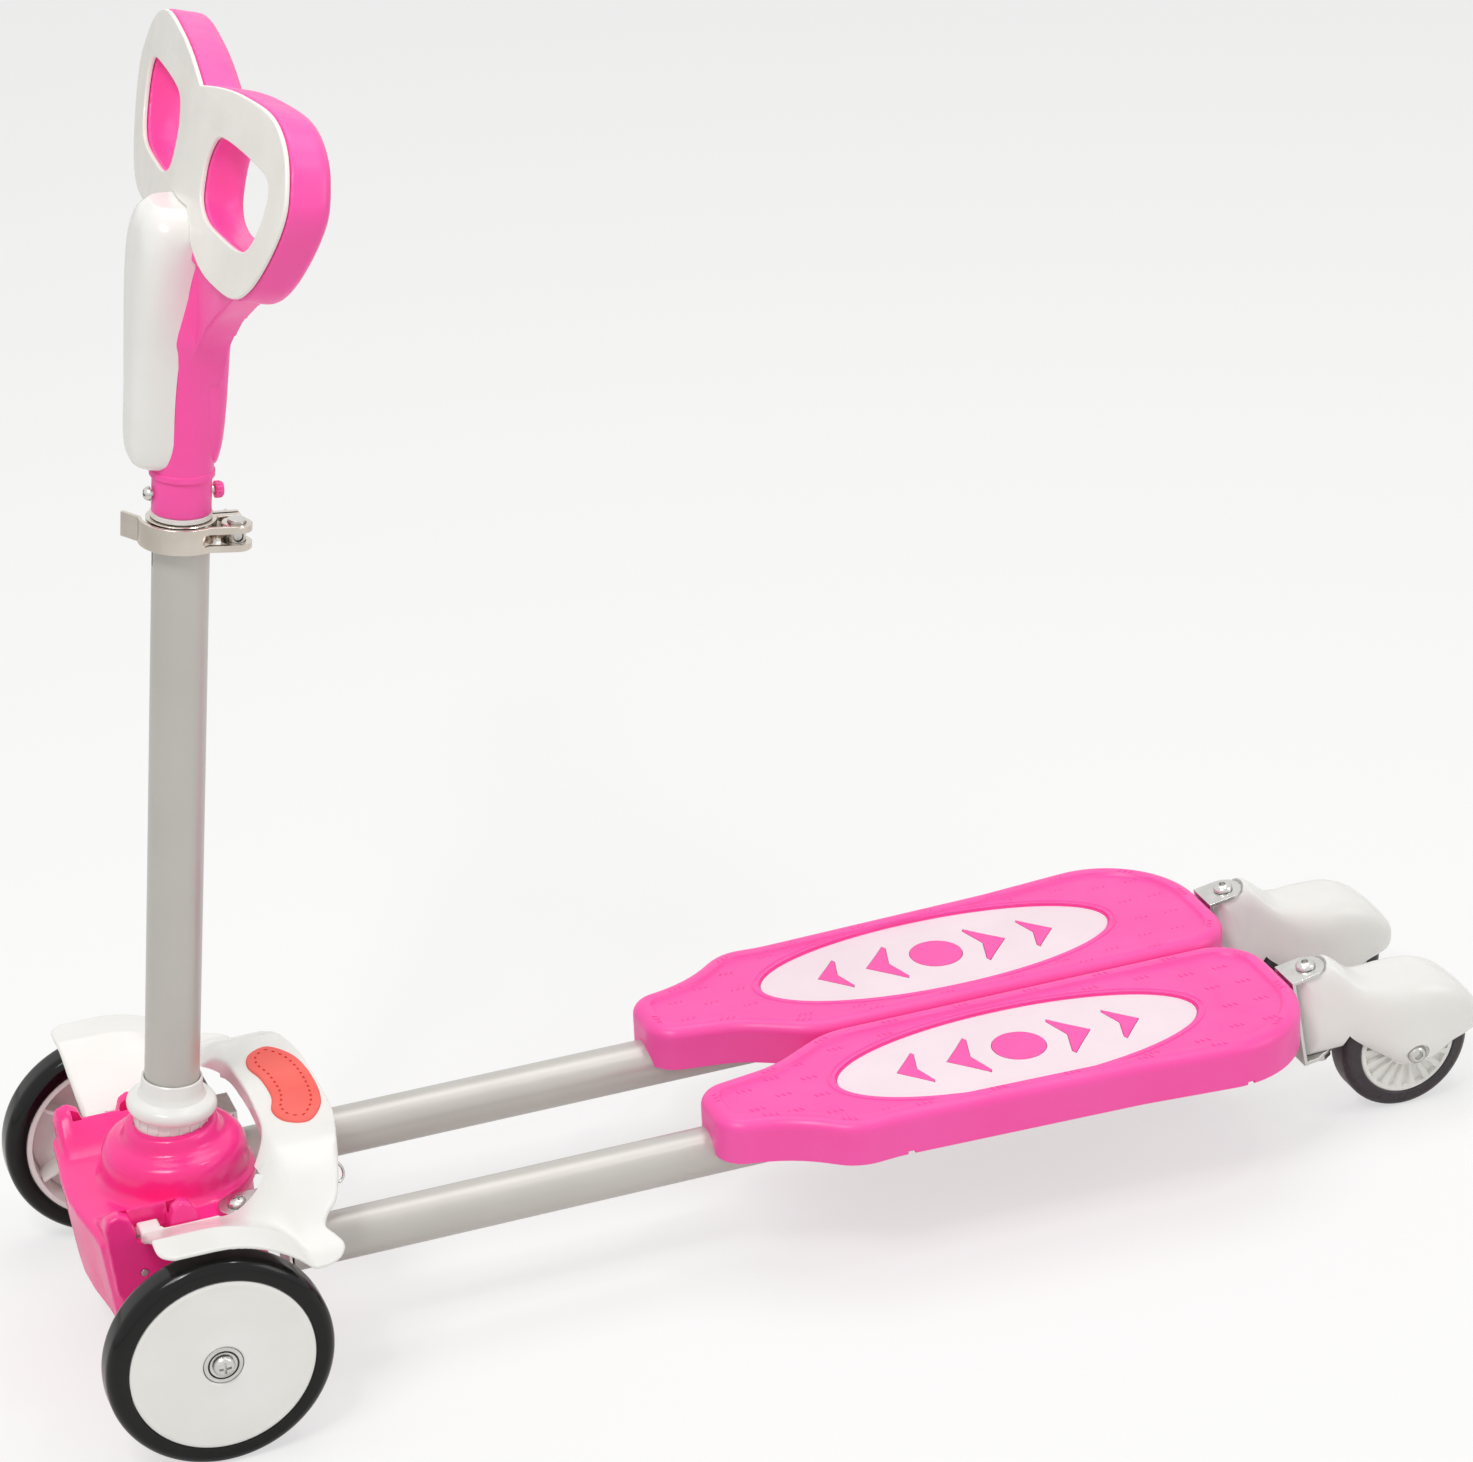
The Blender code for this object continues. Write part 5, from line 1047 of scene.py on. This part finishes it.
# Footboards: a rolled tray with a sunk inlay, raised lines, grip marks, and ribs on the leg tube
DECK_FRONT, DECK_LENGTH, DECK_WIDTH = 0.293, 0.3495, 0.1225
DECK_TOP, DECK_BOTTOM, DECK_ROLL, DECK_WALL = 0.099, 0.0735, 0.0065, 0.003
DECK_FLOOR = DECK_TOP - 0.002
INLAY_TOP, SEAT_LOW, INLAY_X, INLAY_Y = 0.0955, 0.0939, DECK_FRONT + 0.523 * DECK_LENGTH, 0.0585


def filleted(corners, turn_deg):
    """An outline whose corners are rounded to their own radius in short steps."""
    path = []
    count = len(corners)
    for i, (x, y, radius) in enumerate(corners):
        here = Vector((x, y))
        before = (Vector(corners[i - 1][:2]) - here).normalized()
        after = (Vector(corners[(i + 1) % count][:2]) - here).normalized()
        opening = before.angle(after)
        middle = here + (before + after).normalized() * (radius / sin(opening / 2))
        reach = radius / sin(opening / 2) * cos(opening / 2)
        one, two = here + before * reach - middle, here + after * reach - middle
        swing = one.angle_signed(two)
        steps = max(2, round(abs(swing) / radians(turn_deg)))
        for j in range(steps + 1):
            spot = middle + Matrix.Rotation(-swing * j / steps, 2) @ one
            path.append((spot.x, spot.y))
    return path


def deck_outline():
    """The board's outline from corners given as shares of its length and width, each with its radius."""
    corners = [
        (0.0, 0.262, 0.018), (0.138, 0.196, 0.06), (0.25, 0.012, 0.05), (1.0, 0.012, 0.03),
        (1.0, 1.0, 0.058), (0.668, 0.914, 0.15), (0.262, 0.873, 0.06), (0.19, 0.89, 0.03),
        (0.106, 0.694, 0.08), (0.0, 0.637, 0.017)]
    return filleted([(DECK_FRONT + a * DECK_LENGTH, b * DECK_WIDTH, r) for a, b, r in corners], 5)


def ellipse(a, b, count=96):
    """An ellipse round the inlay's middle."""
    return [(INLAY_X + a * cos(2 * pi * i / count), INLAY_Y + b * sin(2 * pi * i / count))
            for i in range(count)]


def inlay_holes(shrink=0.0):
    """The round island and the four swept arrows that stand up through the inlay."""
    shape = [
        (0, 0), (0.0095, -0.0105), (0.015, -0.017), (0.016, -0.0145), (0.0118, 0), (0.016, 0.0145),
        (0.015, 0.017), (0.0095, 0.0105)]
    loops = [ellipse(0.0155 - shrink, 0.0155 - shrink, 48)]
    for x, way, size in ((-0.0735, 1, 1.04), (-0.0437, 1, 1.22), (0.0437, -1, 1.22), (0.0735, -1, 1.04)):
        arrow = [(INLAY_X + x + way * px * size, INLAY_Y + py * size) for px, py in shape]
        loops.append(inward(arrow, shrink) if shrink else arrow)
    return loops


def span_at(outline, x):
    """Where an outline starts and ends in Y at one X."""
    hits = [a[1] + (b[1] - a[1]) * (x - a[0]) / (b[0] - a[0])
            for a, b in zip(outline, outline[1:] + outline[:1]) if (a[0] - x) * (b[0] - x) < 0]
    return min(hits), max(hits)


def decks():
    outline, left = deck_outline(), AHEAD @ sided(-1)
    ceiling = SEAT_LOW - 0.0026
    path = [
        (ceiling, DECK_WALL + 0.0006), (ceiling - 0.0006, DECK_WALL), (DECK_BOTTOM + 0.0005, DECK_WALL),
        (DECK_BOTTOM, DECK_WALL - 0.0006), (DECK_BOTTOM, 0.001), (DECK_BOTTOM + 0.0003, 0.0003),
        (DECK_BOTTOM + 0.001, 0.0)]
    for i in range(9):
        a = pi / 2 * i / 8
        path.append((DECK_TOP - DECK_ROLL * (1 - sin(a)), DECK_ROLL * (1 - cos(a))))
    path += [
        (DECK_TOP, 0.0096), (DECK_TOP - 0.0003, 0.0101), (DECK_FLOOR + 0.0003, 0.0109),
        (DECK_FLOOR, 0.0115)]
    board = skin("footboard_left", [[(x, y, z) for x, y in inward(outline, inset)] for z, inset in path])
    seat = plate("seat", [ellipse(0.1078, 0.0403)] + inlay_holes(0.0003), SEAT_LOW, DECK_TOP + 0.01)
    well = plate("well", [ellipse(0.1087, 0.0412)], INLAY_TOP, DECK_TOP + 0.011)
    notches = [block("notch", (x - 0.0022, 0.095, DECK_BOTTOM - 0.01),
                     (x + 0.0022, 0.13, DECK_BOTTOM + 0.0022))
               for x in (DECK_FRONT + DECK_LENGTH * 0.28, DECK_FRONT + DECK_LENGTH * 0.85)]
    carved(board, seat, well, *notches)
    ribs = []
    for i in range(5):
        x, half = DECK_FRONT + DECK_LENGTH * (0.118 + 0.187 * i), 0.005 if i in (1, 4) else 0.0012
        low, high = span_at(outline, x)
        ribs.append(softened(block("rib", (x - half, low + 0.0018, DECK_BOTTOM + 0.0015),
                                   (x + half, high - 0.0018, ceiling + 0.0012)), 0.4))
    ribs = joined("ribs", ribs)
    carved(ribs, post("saddle", 0.0138, 0.25, 0.7, 64, at(0, LEG_Y, LEG_Z) @ turned(pi / 2, "Y")))
    bead = ((-0.0009, -0.0002), (-0.0006, 0.0004), (0.0, 0.0007), (0.0006, 0.0004), (0.0009, -0.0002))
    rows = []
    for i in range(121):
        a = 2 * pi * i / 120
        rows.append([(INLAY_X + (0.112 + out) * cos(a), INLAY_Y + (0.0443 + out) * sin(a), DECK_FLOOR + up)
                     for out, up in bead])
    line = skin("raised_line", rows, caps=False)
    marks, mark_pitch, mark_slant = [], 0.0034, radians(-25)
    rim = along_loop(inward(outline, 0.0078), 18)
    ends = [(DECK_FRONT + DECK_LENGTH * a, DECK_WIDTH * b, 0.0)
            for a, b in ((0.072, 0.36), (0.072, 0.53), (0.125, 0.31), (0.125, 0.46), (0.125, 0.61),
                         (0.175, 0.24), (0.18, 0.37), (0.18, 0.53), (0.18, 0.69), (0.25, 0.18),
                         (0.26, 0.77), (0.34, 0.15), (0.35, 0.8), (0.7, 0.15), (0.7, 0.81), (0.79, 0.16),
                         (0.79, 0.8), (0.86, 0.22), (0.88, 0.38), (0.88, 0.56), (0.86, 0.74), (0.92, 0.22),
                         (0.935, 0.38), (0.935, 0.56), (0.92, 0.74))]
    for spots, level in ((rim, DECK_TOP), (ends, DECK_FLOOR)):
        for x, y, heading in spots:
            for step in (-mark_pitch, 0, mark_pitch):
                lie = (at(x, y, 0) @ turned(heading, "Z") @ at(step, 0, 0) @ turned(mark_slant, "Z"))
                marks.append(block("mark", (-0.0005, -0.0015, level - 0.0004),
                                   (0.0005, 0.0015, level + 0.0004), lie))
    marks = softened(joined("marks", marks), 0.2)
    board = joined("footboard_left", [board, ribs, line, marks])
    pair(moved(board, left), deck_pp, "leg_%s", "deck_%s")
    inlay = plate("inlay_left", [ellipse(0.1075, 0.04)] + inlay_holes(), SEAT_LOW + 0.0003, INLAY_TOP, 0.3,
                  2)
    pair(moved(inlay, left), inlay_pp, "leg_%s", "deck_inlay_%s")


# Casters: a bulbous white housing hollowed for its wheel, necked to turn between the fork plates
def caster_housings():
    rows = [
        (-0.079, 0.044, 0.104, 0.0114), (-0.056, 0.0443, 0.1037, 0.0114), (-0.048, 0.0447, 0.103, 0.0122),
        (-0.042, 0.0455, 0.099, 0.0136), (-0.036, 0.0465, 0.0935, 0.0156), (-0.029, 0.044, 0.089, 0.0182),
        (-0.02, 0.039, 0.087, 0.0215), (-0.009, 0.0315, 0.0868, 0.0245), (0.002, 0.028, 0.0866, 0.0253),
        (0.013, 0.0292, 0.0853, 0.025), (0.024, 0.0365, 0.0806, 0.0236), (0.033, 0.0395, 0.0735, 0.0212),
        (0.0405, 0.0415, 0.065, 0.0172), (0.045, 0.0445, 0.059, 0.012), (0.0467, 0.048, 0.055, 0.0055)]
    rings = []
    for x, low, high, half in eased_curve(rows, 4, closed=False):
        ring = []
        for i in range(72):
            a = 2 * pi * (i + 0.5) / 72
            side, rise = swollen(cos(a), 0.66), swollen(sin(a), 0.66)
            ring.append((REAR_X + x, half * side - LEG_Y, (low + high) / 2 + (high - low) / 2 * rise))
        rings.append(ring)
    shell = skin("caster_moulding_left", rings)
    swivel = at(PIVOT_X, -LEG_Y, PIVOT_Z) @ turned(-LEAN, "Y")
    plan = bow(0.011, 90, 270, 33) + [(0.005, -0.0118), (0.012, -0.018), (0.019, -0.032)]
    plan += [(0.12, -0.032), (0.12, 0.032), (0.019, 0.032), (0.012, 0.018), (0.005, 0.0118)]
    keep = moved(plate("keep", [plan], -0.06, 0.06), swivel)
    combined(shell, "INTERSECT", keep)
    shell = fused("caster_moulding_left", [shell], 0.8, 4)
    wheel_at = at(REAR_X, -LEG_Y, REAR_R)
    across = wheel_at @ turned(pi / 2, "X")
    room, neck_half = REAR_HALF + 0.002, FORK_HALF - 0.0003
    carved(shell, block("neck_low", (-0.03, -0.03, -0.06), (0.014, 0.03, -neck_half), swivel),
           post("fork_room", 0.012, neck_half, 0.06, 64, swivel),
           post("bore", BOLT_HOLE_R, -0.06, 0.06, 32, swivel),
           post("well", REAR_R + 0.0025, -room, room, 96, across),
           block("mouth", (-0.039, -room, -0.06), (0.038, room, 0.0), wheel_at),
           post("axle_hole", 0.0043, -0.05, 0.05, 32, across),
           post("recess_near", 0.0072, CHEEK_Z, CHEEK_Z + 0.02, 48, across),
           post("recess_far", 0.0072, -CHEEK_Z - 0.02, -CHEEK_Z, 48, across), solver="MANIFOLD")
    pair(moved(shell, AHEAD), white_pp, "caster_%s", "caster_housing_%s")


front_wheels()
rear_wheels()
tubes()
steelwork()
base_moulding()
brake_moulding()
rubber_pad()
spring_ends()
clamp()
handle()
decks()
caster_housings()


# Camera, floor and light

def place_camera():
    """The photograph's camera, from its fitted position and three angles."""
    focal_px = 4291.9
    yaw, pitch, roll = radians(19.65), radians(25.599), radians(-2.47)
    forward = Vector((sin(yaw) * cos(pitch), cos(yaw) * cos(pitch), -sin(pitch)))
    level = Vector((cos(yaw), -sin(yaw), 0))
    up = level.cross(forward)
    right = cos(roll) * level + sin(roll) * up
    top = cos(roll) * up - sin(roll) * level
    data = bpy.data.cameras.new("photo_camera")
    data.sensor_width = 36
    data.sensor_fit = "HORIZONTAL"
    data.lens = focal_px / PHOTO_SIZE[0] * data.sensor_width
    camera = bpy.data.objects.new("photo_camera", data)
    turn = Matrix((right, top, -forward)).transposed().to_4x4()
    camera.matrix_world = at(-0.71105, -1.9534, 1.2852) @ turn
    bpy.context.collection.objects.link(camera)
    bpy.context.scene.camera = camera


def pale_floor():
    bpy.ops.mesh.primitive_plane_add(size=60)
    floor = bpy.context.object
    floor.name = "pale_floor"
    material = bpy.data.materials.new("matt_white_sweep")
    material.use_nodes = True
    tree = material.node_tree
    shader = tree.nodes["Principled BSDF"]
    shader.inputs["Base Color"].default_value = colour("#F4F4F2")
    shader.inputs["Roughness"].default_value = 0.9
    glow = add(tree, "ShaderNodeEmission", {"Color": (1, 1, 1, 1), "Strength": 1.0})
    path = add(tree, "ShaderNodeLightPath")
    share = add(tree, "ShaderNodeMath", {0: path.outputs["Is Camera Ray"], 1: 0.62}, operation="MULTIPLY")
    mix = add(tree, "ShaderNodeMixShader",
              {"Fac": share.outputs[0], 1: shader.outputs[0], 2: glow.outputs[0]})
    tree.links.new(mix.outputs[0], tree.nodes["Material Output"].inputs["Surface"])
    floor.data.materials.append(material)


def softbox(name, spot, aim, size, watts):
    data = bpy.data.lights.new(name, "AREA")
    data.shape = "RECTANGLE"
    data.size, data.size_y = size
    data.energy = watts
    lamp = bpy.data.objects.new(name, data)
    lamp.location = spot
    lamp.rotation_euler = (Vector(aim) - Vector(spot)).to_track_quat("-Z", "Y").to_euler()
    bpy.context.collection.objects.link(lamp)


def studio_light():
    world = bpy.data.worlds.new("pale_studio")
    bpy.context.scene.world = world
    world.use_nodes = True
    tree = world.node_tree
    path = add(tree, "ShaderNodeLightPath")
    seen = add(tree, "ShaderNodeMath", {0: path.outputs["Is Camera Ray"], 1: path.outputs["Is Glossy Ray"]},
               operation="MAXIMUM")
    seen = add(tree, "ShaderNodeMath", {0: seen.outputs[0], 1: path.outputs["Is Transmission Ray"]},
               operation="MAXIMUM")
    strength = add(tree, "ShaderNodeMapRange", {"Value": seen.outputs[0], "To Min": 0.46, "To Max": 1.0})
    background = tree.nodes["Background"]
    background.inputs["Color"].default_value = (1, 1, 1, 1)
    tree.links.new(strength.outputs["Result"], background.inputs["Strength"])
    softbox("key_softbox", (-1.3, -1.0, 2.6), (0, 0, 0.2), (1.0, 0.8), 23)
    softbox("fill_softbox", (2.2, -1.4, 1.6), (0.1, 0, 0.1), (1.2, 1.2), 10)
    softbox("top_softbox", (0.2, 0.6, 2.6), (0, 0, 0.1), (1.8, 1.2), 16)
    softbox("lamp_near", (-0.9, -1.0, 2.0), (-0.2, 0, 0.1), (0.16, 0.16), 4)
    softbox("lamp_far", (0.7, -0.6, 2.2), (0.2, 0, 0.1), (0.16, 0.16), 3.5)
    bpy.context.scene.view_settings.view_transform = "Standard"


place_camera()
pale_floor()
studio_light()
